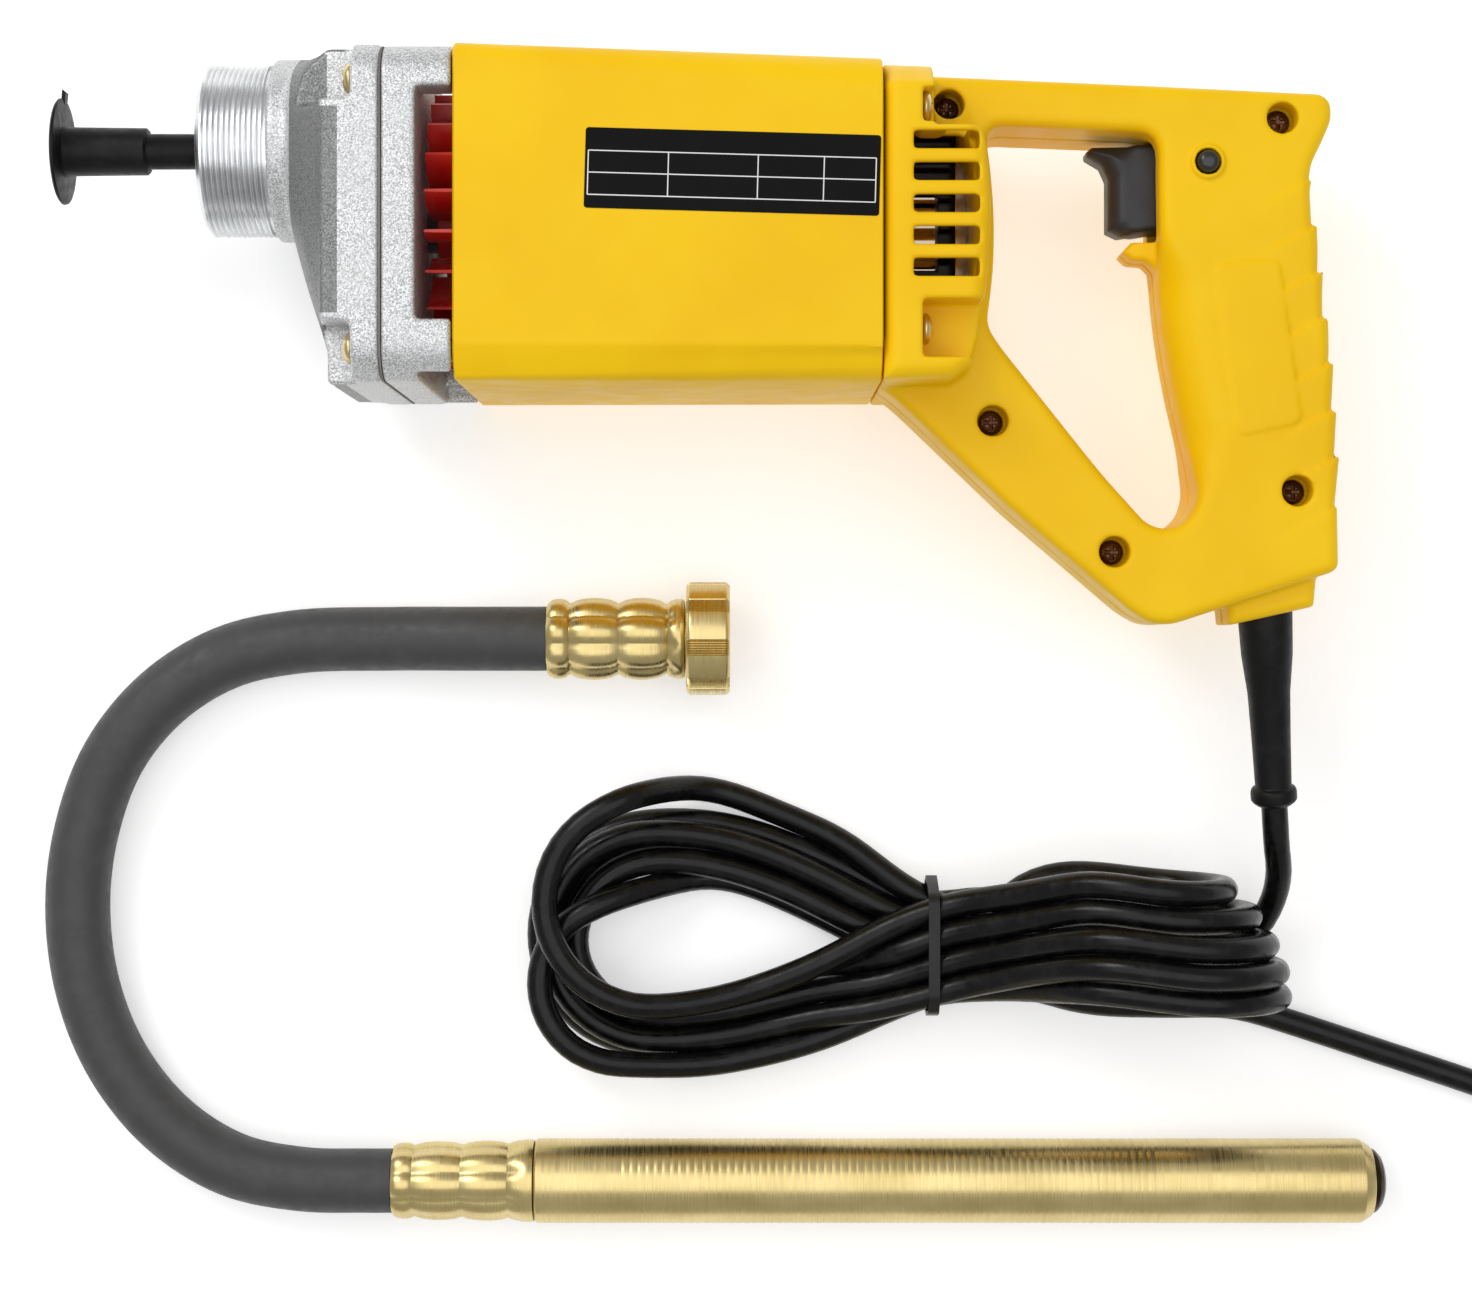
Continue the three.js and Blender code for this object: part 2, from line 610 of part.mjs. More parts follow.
/** Hollows inside the two shells, and every opening cut through them. */
function shellHollows() {
  const room = (points, low, high) => plate(outline(points), low, high);
  const [low, high] = [MID_Z - HANDLE_HALF + SHELL_WALL, MID_Z + HANDLE_HALF - SHELL_WALL];
  const motorRoom = room(
    [[SEAM - 1, 166], [61, 164.8], [66.5, 148], [68, 127], [66.5, 104], [64, 86], [SEAM - 1, 82.5]],
    MID_Z - HOUSING_HALF + SHELL_WALL,
    MID_Z + HOUSING_HALF - SHELL_WALL,
  );
  const barRoom = room([[60, 166], [150, 161.6], [150, 157.8], [60, 160.6]], low, high);
  const gripRoom = room(
    [
      [128, 157.5], [150, 157.5], [164, 144], [164.5, 136], [167.5, 118], [169, 100], [171.5, 80],
      [171.5, 62], [156, 50], [156, 40], [171.5, 38], [172, 27.5], [150, 20.5], [148, 40],
      [141, 50], [135.5, 72], [129.5, 95],
    ],
    low, high,
  );
  const strutRoom = room([[56, 84], [98, 53], [98, 46.5], [84, 58], [52, 74.5]], low, high);
  const triggerSlot = box(
    120, 139, 122.4, 152.8, MID_Z - TRIGGER_HALF - 0.6, MID_Z + TRIGGER_HALF + 0.6,
  );
  const bootPassage = turnedAlong(
    [[-14, 0], [-14, 10.3], [-7, 10.3], [-7, 8.6], [10, 8.6], [10, 0]], BOOT_START, BOOT_DIRECTION,
  );
  const vents = Array.from({ length: 5 }, (_, i) => {
    const y = 146.5 - 9.05 * i;
    return join(
      box(50.4, 69, y - 2.6, y + 2.6, MID_Z + 30, 99),
      box(50.4, 69, y - 2.6, y + 2.6, -1, MID_Z - 30),
    );
  });
  return [motorRoom, barRoom, gripRoom, strutRoom, triggerSlot, bootPassage, ...vents];
}

/** Pockets at the two long screws of one side, open to the rear for the driver. */
function screwPockets(side) {
  const between = (a, b) => [MID_Z + side * a, MID_Z + side * b].sort((p, q) => p - q);
  const lower = box(53, 80, 84.8, 101.4, ...between(31.5, 49));
  const upper = box(53, 58.5, 151.6, 161.4, ...between(31.5, 49));
  const driver = rodAlongX(57, 80, 4.9, HOUSING_SCREWS[2].y, MID_Z + side * 38, 16);
  return [lower, upper, driver];
}

const BOOT_START = new THREE.Vector3(158.6, 14, MID_Z);
const BOOT_DIRECTION = new THREE.Vector3(5.6, -60, -14).normalize();

/** Both halves of the handle as one block, before it is split along the mid-plane. */
function handleBlock() {
  const frame = cut(
    plate(outline(HANDLE_OUTLINE), MID_Z - HANDLE_HALF, MID_Z + HANDLE_HALF, { bevel: 4 }),
    plate(outline(OPENING_OUTLINE), 0, 2 * MID_Z),
  );
  const housing = plate(
    outline(HOUSING_OUTLINE), MID_Z - HOUSING_HALF, MID_Z + HOUSING_HALF, { bevel: 7 },
  );
  const front = box(SEAM - 10, SEAM, 60, 190, -5, 100);
  const ledge = plate(
    outline([[127, 124.4], [119, 124.4], [114.8, 119.8], [117.4, 117.3], [122, 117], [127, 112]]),
    MID_Z - 9, MID_Z + 9,
  );
  const collar = plate(
    outline([[145, 18], [145.8, 8.8], [171, 14.4], [172, 26]]), MID_Z - 13.5, MID_Z + 13.5,
    { bevel: 3, steps: 1 },
  );
  const lockRing = rodUpright(
    MID_Z + 10, MID_Z + HANDLE_HALF + 1.4, LOCK_BUTTON.ring, LOCK_BUTTON.x, LOCK_BUTTON.y,
  );
  const solid = cut(join(frame, housing, ledge, collar, lockRing), front);
  const bosses = SHELL_SCREWS.map(([x, y]) =>
    rodUpright(MID_Z - HANDLE_HALF + 1, MID_Z + 9, 6.4, x, y, 16),
  );
  const hollow = cut(solid, ...shellHollows());
  const bores = SHELL_SCREWS.map(([x, y]) =>
    turnedUpright(
      [
        [SHELL_SCREW.end - 1, 0], [SHELL_SCREW.end - 1, SHELL_SCREW.shankR + GAP],
        [SHELL_SCREW.headZ - GAP, SHELL_SCREW.shankR + GAP],
        [SHELL_SCREW.headZ - GAP, COUNTERBORE_R], [110, COUNTERBORE_R], [110, 0],
      ],
      x, y, 16,
    ),
  );
  const lockHole = rodUpright(MID_Z + 5, 90, LOCK_BUTTON.r + 0.2, LOCK_BUTTON.x, LOCK_BUTTON.y);
  const pockets = [...screwPockets(1), ...screwPockets(-1)];
  const screwHoles = HOUSING_SCREWS.map(({ y, z }) =>
    rodAlongX(SEAM - 1, 58, HOUSING_SCREW_R + GAP, y, z, 12),
  );
  return cut(join(hollow, ...bosses), ...bores, lockHole, ...pockets, ...screwHoles);
}

const handle = handleBlock();
const halfGap = GAP / 2;
addPart(
  'handle_shell_near',
  handle.intersect(box(0, 200, -20, 200, MID_Z + halfGap, 120)),
  'yellow',
);
addPart(
  'handle_shell_far',
  handle.intersect(box(0, 200, -20, 200, -20, MID_Z - halfGap)),
  'yellow',
);

SHELL_SCREWS.forEach(([x, y], i) => {
  const { headZ, headR, shankR, end } = SHELL_SCREW;
  const screw = turnedUpright(
    [
      [end, 0], [end, shankR], [headZ, shankR], [headZ, headR], [headZ + 1.4, headR],
      [headZ + 2.4, 2], [headZ + 2.4, 0],
    ],
    x, y, 12,
  );
  addPart(`shell_screw_${i + 1}`, screw, 'bronze');
});

HOUSING_SCREWS.forEach(({ y, z }, i) => {
  const seat = 53 + GAP;
  const screw = turned(
    [
      [31, 0], [31, HOUSING_SCREW_R], [seat, HOUSING_SCREW_R], [seat, 4.6], [seat + 1.8, 4.6],
      [seat + 3.2, 2.6], [seat + 3.2, 0],
    ],
    y, z, 12,
  );
  addPart(`housing_screw_${i + 1}`, screw, 'zinc');
});

// --------------------------------------------------------- switch and cord

addPart(
  'trigger',
  plate(
    outline([
      [104.4, 150], [106.2, 151.6], [134, 151.9], [134, 127], [123.2, 126.4], [114.4, 124.9],
      [110.8, 126.6], [110.8, 142], [109, 146], [104.6, 148.6],
    ]),
    MID_Z - TRIGGER_HALF, MID_Z + TRIGGER_HALF, { bevel: 1.2, steps: 1 },
  ),
  'charcoal',
);

/** Return spring of the trigger, between the trigger's back and the switch. */
function triggerSpring() {
  const [turns, radius, front, rear] = [4, 3, 134.8, 143.6];
  const points = Array.from({ length: turns * 8 + 1 }, (_, i) => {
    const angle = (2 * Math.PI * i) / 8;
    const x = front + ((rear - front) * i) / (turns * 8);
    return [x, 139 + radius * Math.cos(angle), MID_Z + radius * Math.sin(angle)];
  });
  return tube(points, 0.4, turns * 10, 5);
}
addPart('trigger_spring', triggerSpring(), 'steel');

addPart('switch_body', box(144.4, 161, 121, 143, MID_Z - 9, MID_Z + 6), 'charcoal');
addPart(
  'lock_button',
  turnedUpright(
    [
      [MID_Z + 12, 0], [MID_Z + 12, LOCK_BUTTON.r], [MID_Z + HANDLE_HALF + 1.2, LOCK_BUTTON.r],
      [MID_Z + HANDLE_HALF + 2.8, 2.4], [MID_Z + HANDLE_HALF + 3.2, 0],
    ],
    LOCK_BUTTON.x, LOCK_BUTTON.y, 16,
  ),
  'black',
);
addPart('cord_clamp', box(151, 166, 30.5, 36, MID_Z - 11, MID_Z + 11), 'charcoal');

const BOOT_END = 61.5;
const BOOT_PROFILE = [
  [-13, 0], [-13, 9.6], [-8, 9.6], [-8, 8.2], [6, 8.2], [12, 8.2], [26, 6.2], [56, 6.1], [56.5, 7],
  [60, 7], [BOOT_END, 6], [BOOT_END, 0],
];
addPart('cord_boot', turnedAlong(BOOT_PROFILE, BOOT_START, BOOT_DIRECTION, 16), 'black');

// ---------------------------------------------------------------- dust plug

addPart(
  'dust_plug',
  turned(
    [
      [-202.5, 0], [-202.5, 15.8], [-201.3, 15.8], [-200.8, 7.4], [-176, 7], [-176, 5.3],
      [-134, 5.1], [-134, 0],
    ],
    NOSE_Y, MID_Z,
  ),
  'black',
);

// ------------------------------------------------- flexible shaft and poker

const NUT_REAR = -15.4;
const NUT_FRONT = -1.9;

addPart(
  'coupling_nut',
  turned(
    [
      [NUT_REAR, 9.3], [NUT_REAR, NUT_R - 1.2], [NUT_REAR + 1.2, NUT_R], [NUT_FRONT - 1.2, NUT_R],
      [NUT_FRONT, NUT_R - 1.2], [NUT_FRONT, 14.3], [NUT_REAR + 3.4, 14.3], [NUT_REAR + 3.4, 9.3],
      [NUT_REAR, 9.3],
    ],
    COUPLING_Y, COUPLING_Z, 24,
  ),
  'brass',
);

const FERRULE_START = -58.5;

/** Coupling ferrule: three swellings, a neck through the nut and a flange inside it. */
addPart(
  'coupling_ferrule',
  turned(
    [
      [FERRULE_START, 0], [FERRULE_START, 12], [-55.5, 12.6], [-52, 11.6], [-44.5, 12.9],
      [-37, 11.7], [-29.5, 12.9], [-21.5, 11.5], [-17.5, 12.4], [NUT_REAR - GAP, 12.2],
      [NUT_REAR - GAP, 9], [NUT_REAR + 3.4 + GAP, 9], [NUT_REAR + 3.4 + GAP, 13.6],
      [NUT_REAR + 5.6, 13.6], [NUT_REAR + 5.6, 4.4], [-26, 4.4], [-26, 0],
    ],
    COUPLING_Y, COUPLING_Z, 16,
  ),
  'brass',
);

addPart('drive_tip', rodAlongX(-25.5, -5.5, 4, COUPLING_Y, COUPLING_Z, 4), 'steel');

const POKER_FERRULE_START = -106.9;
const HOSE_ROUTE = [
  [FERRULE_START - GAP, COUPLING_Y, COUPLING_Z], [-66, COUPLING_Y, COUPLING_Z],
  [-84, COUPLING_Y, 15.4], [-108, COUPLING_Y, 11.8],
  [-138, 4, 10.4], [-160, -1, 10.3], [-180, -13.5, 10.3], [-195, -32, 10.3], [-203.5, -55, 10.3],
  [-206.3, -79, 10.3], [-203, -105, 10.3], [-193.5, -128, 10.3], [-178, -147, 10.4],
  [-158, -159.5, 11], [-136, POKER_Y + 0.4, 12.4], [-116, POKER_Y, POKER_R],
  [POKER_FERRULE_START - GAP, POKER_Y, POKER_R],
];
addPart('hose', tube(HOSE_ROUTE, HOSE_R, 26, 12), 'rubber');

const POKER_TUBE_START = -62.7;
const POKER_TUBE_END = 198.7;

addPart(
  'poker_ferrule',
  turned(
    [
      [POKER_FERRULE_START, 0], [POKER_FERRULE_START, 11.2], [-103.5, 11.8], [-100.5, 10.9],
      [-93, 12.2], [-86, 11.1], [-78.5, 12.3], [-71.5, 11.3], [-66.5, 12.5],
      [POKER_TUBE_START - GAP, 12.7], [POKER_TUBE_START - GAP, 0],
    ],
    POKER_Y, POKER_R, 16,
  ),
  'brass',
);

/** Poker tube: bored from the front for the eccentric rotor, closed at the hose end. */
addPart(
  'poker_tube',
  turned(
    [
      [POKER_TUBE_START, 0], [POKER_TUBE_START, POKER_R], [POKER_TUBE_END - 4, POKER_R],
      [POKER_TUBE_END, 11.3], [POKER_TUBE_END, 9.6], [-50, 9.6], [-50, 0],
    ],
    POKER_Y, POKER_R, 24,
  ),
  'brass',
);

addPart(
  'poker_tip',
  turned(
    [
      [176, 0], [176, 9.3], [POKER_TUBE_END + GAP, 9.3], [POKER_TUBE_END + GAP, 10.7],
      [200.6, 10.2], [201.8, 8], [202.5, 4.5], [202.5, 0],
    ],
    POKER_Y, POKER_R, 20,
  ),
  'bronze',
);

const ROTOR_BEARINGS = [{ front: -38, rear: -30 }, { front: 128, rear: 136 }];
ROTOR_BEARINGS.forEach(({ front, rear }, i) => {
  addPart(
    `poker_bearing_${i + 1}`, bearing({ front, rear, outer: 9.3, inner: 4 }, POKER_Y, POKER_R), 'steel',
  );
});

/** Eccentric rotor: a shaft with a half-round weight between its two bearings. */
function eccentricRotor() {
  const shaft = rodAlongX(-44, 140, 4, POKER_Y, POKER_R, 16);
  const weight = cut(
    rodAlongX(-24, 122, 8.4, POKER_Y, POKER_R, 20),
    box(-30, 130, POKER_Y - 12, POKER_Y + 12, POKER_R, POKER_R + 12),
  );
  return join(shaft, weight);
}
addPart('eccentric_rotor', eccentricRotor(), 'steel');

// ----------------------------------------------------------- the mains cord

const BOOT_EXIT = BOOT_START.clone().addScaledVector(BOOT_DIRECTION, BOOT_END + GAP);

/** From the boot down to the hank. */
const LEAD_ROUTE = [
  BOOT_EXIT.toArray(), [164.8, -52, 32.6], [165.9, -59.5, 29.2], [167.4, -66.5, 24.4],
];
addPart('cord_lead', tube(LEAD_ROUTE, CORD_R, 4), 'black');

/** Outside edge of the tied hank, seen from above: wide loops at the left, folds at the right. */
const HANK_OUTLINE = [
  [159, -68.5], [171.5, -72], [174.5, -82], [175.5, -94], [174.5, -103], [166.5, -108.5], [164.3, -117],
  [148, -114.5], [126, -111], [99, -108.5], [80, -106.5], [54, -111.5], [22, -122], [-5, -129.5],
  [-26, -132], [-46, -128], [-59, -118.5], [-65, -103], [-61.5, -84.5], [-53, -67], [-42, -52],
  [-22, -41.5], [-5, -38.5], [22, -50], [45, -63], [66, -74], [86, -67.5], [108, -64.5], [134, -63.5],
  [149, -64.5],
];
const HANK_LOW = 33; // left loops cross each other four strands high
const HANK_HIGH = 64; // right folds stand on edge
const HANK_STEP = 78; // station between the two
const TIE = { front: 59.3, rear: 62.7, wall: 1.4 };
const WAIST = { near: -110, far: -72, low: TIE.wall, high: 27, corner: 5 };

/** Section of the hank's waist, grown or shrunk all round. */
const waistSection = (grow) =>
  roundedRectangle(
    WAIST.near - grow, WAIST.low - grow, WAIST.far + grow, WAIST.high + grow, WAIST.corner + grow,
  );

/** The hank as one solid of its outer shape, drawn in where the tie holds it. */
function hank() {
  const shape = outline(HANK_OUTLINE);
  const low = plate(shape, 0, HANK_LOW, { bevel: 3, steps: 1 });
  const high = plate(shape, 0, HANK_HIGH, { bevel: 3, steps: 1 });
  const folds = high.intersect(box(HANK_STEP, 200, -150, 0, -1, HANK_HIGH + 1));
  const tieRoom = box(TIE.front - GAP, TIE.rear + GAP, -150, -40, -1, HANK_LOW + 1);
  return cut(join(low, folds), cut(tieRoom, beam(waistSection(-GAP), TIE.front - 5, TIE.rear + 5)));
}
addPart('cord_hank', hank(), 'black');

/** Flat tie round the waist of the hank. */
function hankTie() {
  const inside = beam(waistSection(0), TIE.front - 1, TIE.rear + 1);
  return cut(beam(waistSection(TIE.wall), TIE.front, TIE.rear), inside);
}
addPart('hank_tie', hankTie(), 'black');

const PLUG_START = new THREE.Vector3(262, -144.6, 8.2);
const PLUG_DIRECTION = new THREE.Vector3(0.953, -0.303, 0);

const TAIL_ROUTE = [
  [166, -113.2, CORD_R + 0.1], [180, -117.6, CORD_R + 0.1], [200, -124.2, CORD_R + 0.1],
  [220, -130.8, CORD_R + 0.1], [238, -136.8, CORD_R + 1.1], [248, -140, 7],
  PLUG_START.clone().addScaledVector(PLUG_DIRECTION, -6).toArray(),
  PLUG_START.clone().addScaledVector(PLUG_DIRECTION, -GAP).toArray(),
];
addPart('cord_tail', tube(TAIL_ROUTE, CORD_R, 10), 'black');

/** Moulded two-blade plug: finger grip, collar for the cord and two flat blades. */
function plug() {
  const body = new THREE.Shape([
    new THREE.Vector2(0, -5.5), new THREE.Vector2(12, -7.5), new THREE.Vector2(28, -12.5),
    new THREE.Vector2(34, -12.5), new THREE.Vector2(34, 12.5), new THREE.Vector2(28, 12.5),
    new THREE.Vector2(12, 7.5), new THREE.Vector2(0, 5.5),
  ]);
  const shell = plate(body, 0.2, 16.2, { bevel: 3, steps: 1 });
  const blades = [-6.35, 6.35].map((y) => box(33, 51, y - 0.75, y + 0.75, 5, 11.3));
  const turn = new THREE.Matrix4()
    .makeRotationZ(Math.atan2(PLUG_DIRECTION.y, PLUG_DIRECTION.x))
    .setPosition(PLUG_START.x, PLUG_START.y, 0);
  return solidOf(geometryOf(join(shell, ...blades)).applyMatrix4(turn));
}
addPart('plug_body', plug(), 'black');

export default group;
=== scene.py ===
"""Looks for a hand-held electric concrete vibrator: motor unit, shaft with its poker, and mains cord.

Sizes and places are in millimetres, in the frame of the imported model, and turn into metres where a
mesh is made. The tool lies on its side, so +Z is towards the viewer and the near shell is the upper one.
"""

import json
import math
from itertools import product

import bmesh
import bpy
import numpy as np
import openvdb
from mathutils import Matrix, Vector


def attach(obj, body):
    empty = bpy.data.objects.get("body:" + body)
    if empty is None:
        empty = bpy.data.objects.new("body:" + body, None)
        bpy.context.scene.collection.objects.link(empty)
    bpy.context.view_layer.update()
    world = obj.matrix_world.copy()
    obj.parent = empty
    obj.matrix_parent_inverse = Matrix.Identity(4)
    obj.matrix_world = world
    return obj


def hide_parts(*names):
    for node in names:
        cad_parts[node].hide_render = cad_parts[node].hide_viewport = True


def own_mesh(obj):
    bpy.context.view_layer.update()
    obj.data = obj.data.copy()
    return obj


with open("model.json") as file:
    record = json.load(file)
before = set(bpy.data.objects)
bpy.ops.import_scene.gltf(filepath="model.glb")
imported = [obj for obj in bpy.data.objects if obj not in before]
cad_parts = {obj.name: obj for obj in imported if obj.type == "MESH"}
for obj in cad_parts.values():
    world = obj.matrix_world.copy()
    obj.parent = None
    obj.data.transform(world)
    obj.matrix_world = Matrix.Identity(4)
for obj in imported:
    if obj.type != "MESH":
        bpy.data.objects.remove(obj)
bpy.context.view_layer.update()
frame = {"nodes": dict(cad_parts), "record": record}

MM = 0.001

# ------------------------------------------------------------------ driving dimensions

MID_Z = 48.0  # parting plane of the handle shells, and the motor's axis
MOTOR_Y = 126.5  # the motor's axis
NOSE_Y = 151.0  # axis of the threaded nose and the output spindle
COUPLING_Y, COUPLING_Z = 5.0, 17.5  # axis of the coupling nut
POKER_Y, POKER_R = -164.3, 13.0  # it lies on the floor, so its axis is its radius up
CORD_D = 8.0
HOSE_D = 20.0
BOOT_START = Vector((158.6, 14.0, 48.0))
BOOT_DIRECTION = Vector((5.6, -60.0, -14.0)).normalized()
BOOT_LENGTH = 61.5
GAP = 0.3

# ------------------------------------------------------------------ camera


def make_camera():
    """Looks straight down on the parting plane, of which it takes in a given width."""
    distance, width, middle_y, sensor = 840.0, 441.6, 3.2, 36.0
    data = bpy.data.cameras.new("camera")
    data.sensor_width = sensor
    data.lens = sensor * distance / width
    data.clip_end = 20
    camera = bpy.data.objects.new("camera", data)
    camera.location = Vector((0.0, middle_y, MID_Z + distance)) * MM
    bpy.context.scene.collection.objects.link(camera)
    bpy.context.scene.camera = camera


make_camera()

# ------------------------------------------------------------------ curves


def smooth_route(points, step=3.0):
    """A smooth curve through the points (a centripetal Catmull-Rom spline), in steps of about `step`."""
    nodes = [Vector(p) for p in points]
    nodes = [2 * nodes[0] - nodes[1], *nodes, 2 * nodes[-1] - nodes[-2]]
    route = []
    for a, b, c, d in zip(nodes, nodes[1:], nodes[2:], nodes[3:]):
        t0, t1, t2 = [max((q - p).length, 1e-4) ** 0.5 for p, q in ((a, b), (b, c), (c, d))]
        start = ((b - a) / t0 - (c - a) / (t0 + t1) + (c - b) / t1) * t1
        end = ((c - b) / t1 - (d - b) / (t1 + t2) + (d - c) / t2) * t1
        count = max(2, round((c - b).length / step))
        for i in range(count):
            t = i / count
            route.append(
                b + start * t
                + (3 * (c - b) - 2 * start - end) * t**2
                + (start + end - 2 * (c - b)) * t**3
            )
    return [*route, nodes[-2]]


def cord_curve(name, route, diameter, material):
    """A round cord as one open spline through the route."""
    data = bpy.data.curves.new(name, "CURVE")
    data.dimensions = "3D"
    data.bevel_depth = diameter / 2 * MM
    data.bevel_resolution = 8
    data.use_fill_caps = True
    spline = data.splines.new("POLY")
    spline.points.add(len(route) - 1)
    for point, place in zip(spline.points, route):
        point.co = (*(place * MM), 1.0)
    spline.use_smooth = True
    data.materials.append(material)
    cord = bpy.data.objects.new(name, data)
    bpy.context.scene.collection.objects.link(cord)
    return cord


# ------------------------------------------------------------------ routes of the hose and the mains cord

HOSE_ROUTE = [
    [-58.8, 5, 17.5], [-66, 5, 17.5], [-84, 5, 15.4], [-108, 5, 11.8], [-138, 4, 10.4], [-160, -1, 10.3],
    [-180, -13.5, 10.3], [-195, -32, 10.3], [-203.5, -55, 10.3], [-206.3, -79, 10.3], [-203, -105, 10.3],
    [-193.5, -128, 10.3], [-178, -147, 10.4], [-158, -159.5, 11], [-136, -163.9, 12.4],
    [-116, -164.3, 13], [-107.2, -164.3, 13],
]

BOOT_EXIT = BOOT_START + BOOT_DIRECTION * (BOOT_LENGTH + GAP)
LEAD_ROUTE = [list(BOOT_EXIT), [164.8, -52, 32.6], [165.9, -59.5, 29.2], [167.4, -66.5, 24.4]]
PLUG_START = Vector((262.0, -144.6, 8.2))
PLUG_DIRECTION = Vector((0.953, -0.303, 0.0))
TAIL_ROUTE = [
    [166, -113.2, 4.1], [180, -117.6, 4.1], [200, -124.2, 4.1], [220, -130.8, 4.1], [238, -136.8, 5.1],
    [248, -140, 7], list(PLUG_START - 6 * PLUG_DIRECTION), list(PLUG_START - GAP * PLUG_DIRECTION),
]

# The hank's waist, under its tie: lanes across it, and strands three high.
WAIST_X = 61.0
LOOP_X = (22, -8)  # stations from the waist out to the left loops
FOLD_X = (84, 110)  # and out to the right folds
HANK_TOP_Y, HANK_END_X = -66, 168  # past these the cord is the lead or the tail
TIE_ROOM = 1.6  # the strands are this far off the floor where the tie passes beneath them
STRAND_ROOM = 0.15  # more than a diameter between the middles of strands
WAIST_LANES = [-79.0, -87.5, -96.0, -104.5]
LAYER = [4.1, 12.1, 20.1, 28.1]

# One row for each loop at the left: the lane and layer it leaves the waist in, its upper and lower
# lanes and layers, the middle, radius and layer of its turn, and the lane and layer it comes back in.
LEFT_LOOPS = [
    dict(out=(2, 0), upper=(-70, 0), turn=(-36, -102, 25, 2), lower=(-126, 1), back=(3, 1)),
    dict(out=(2, 1), upper=(-66, 1), turn=(-25, -90, 25, 1), lower=(-114, 1), back=(2, 2)),
    dict(out=(1, 1), upper=(-57, 1), turn=(-28, -87, 31, 1), lower=(-119, 1), back=(3, 2)),
    dict(out=(0, 1), upper=(-42.5, 0), turn=(-27, -76, 32, 3), lower=(-107, 2), back=(0, 2)),
    dict(out=(1, 0), upper=(-61.5, 0), turn=(-25, -88, 27, 0), lower=(-115, 0), back=(1, 2)),
    dict(out=(0, 0), upper=(-53, 0), turn=(-27, -88, 35, 0), lower=(-123, 0), back=(3, 0)),
]
# One row for each fold at the right, which stands on edge: its lane, its far end and its lowest layer.
RIGHT_FOLDS = [
    dict(lane=-101.1, end=166, low=6),
    dict(lane=-84.9, end=161.6, low=10),
    dict(lane=-93.0, end=164.5, low=11.5),
    dict(lane=-68.7, end=150, low=4.1),
    dict(lane=-76.8, end=157.5, low=4.1),
]
FOLD_R = 24.0


def waist(slot):
    """The place of a lane and a layer under the tie."""
    lane, layer = slot
    return Vector((WAIST_X, WAIST_LANES[lane], LAYER[layer]))


def left_loop(out, upper, turn, lower, back):
    """Waist, upper lane, round the left end, lower lane, waist."""
    x, y, radius, layer = turn
    near_x, far_x = LOOP_X
    start, end = waist(out), waist(back)
    points = [start, (near_x, 0.3 * start.y + 0.7 * upper[0] - 1, LAYER[upper[1]])]
    points.append((far_x, upper[0], LAYER[upper[1]]))
    for degrees in range(105, 256, 25):
        a = math.radians(degrees)
        points.append((x + radius * math.cos(a), y + radius * math.sin(a), LAYER[layer]))
    points.append((far_x, lower[0], LAYER[lower[1]]))
    points.append((near_x, 0.35 * end.y + 0.65 * lower[0], LAYER[lower[1]]))
    return [*points, end]


def right_fold(slot_in, slot_out, lane, end, low):
    """Waist, top of the fold, round its end, bottom of the fold, waist."""
    near_x, far_x = FOLD_X
    start, finish = waist(slot_in), waist(slot_out)
    middle = low + FOLD_R
    points = [(near_x, 0.5 * (start.y + lane), start.z + 12), (far_x, lane, middle + FOLD_R - 5)]
    for degrees in range(90, -91, -22):
        a = math.radians(degrees)
        points.append((end - FOLD_R + FOLD_R * math.cos(a), lane - 3, middle + FOLD_R * math.sin(a)))
    points.append((far_x, lane, max(LAYER[0], low - 3)))
    return [*points, (near_x, 0.5 * (finish.y + lane), finish.z)]


def mains_route():
    """From the boot, through the hank, to the plug."""
    points = [*LEAD_ROUTE, [167.2, -76, 16.5], [163, -86, 9.5], [154, -93.5, 5.2], [140, -97, 4.3]]
    points += [[118, -97.3, 4.1], [90, -96.5, 4.1]]
    for i, loop in enumerate(LEFT_LOOPS):
        points += left_loop(**loop)
        if i < len(RIGHT_FOLDS):
            points += right_fold(loop["back"], LEFT_LOOPS[i + 1]["out"], **RIGHT_FOLDS[i])
    points += [[84, -103.8, 4.1], [110, -106.3, 4.1], [135, -107.5, 4.1], [152, -109.6, 4.1]]
    return settled(smooth_route([*points, *TAIL_ROUTE], 4.0))


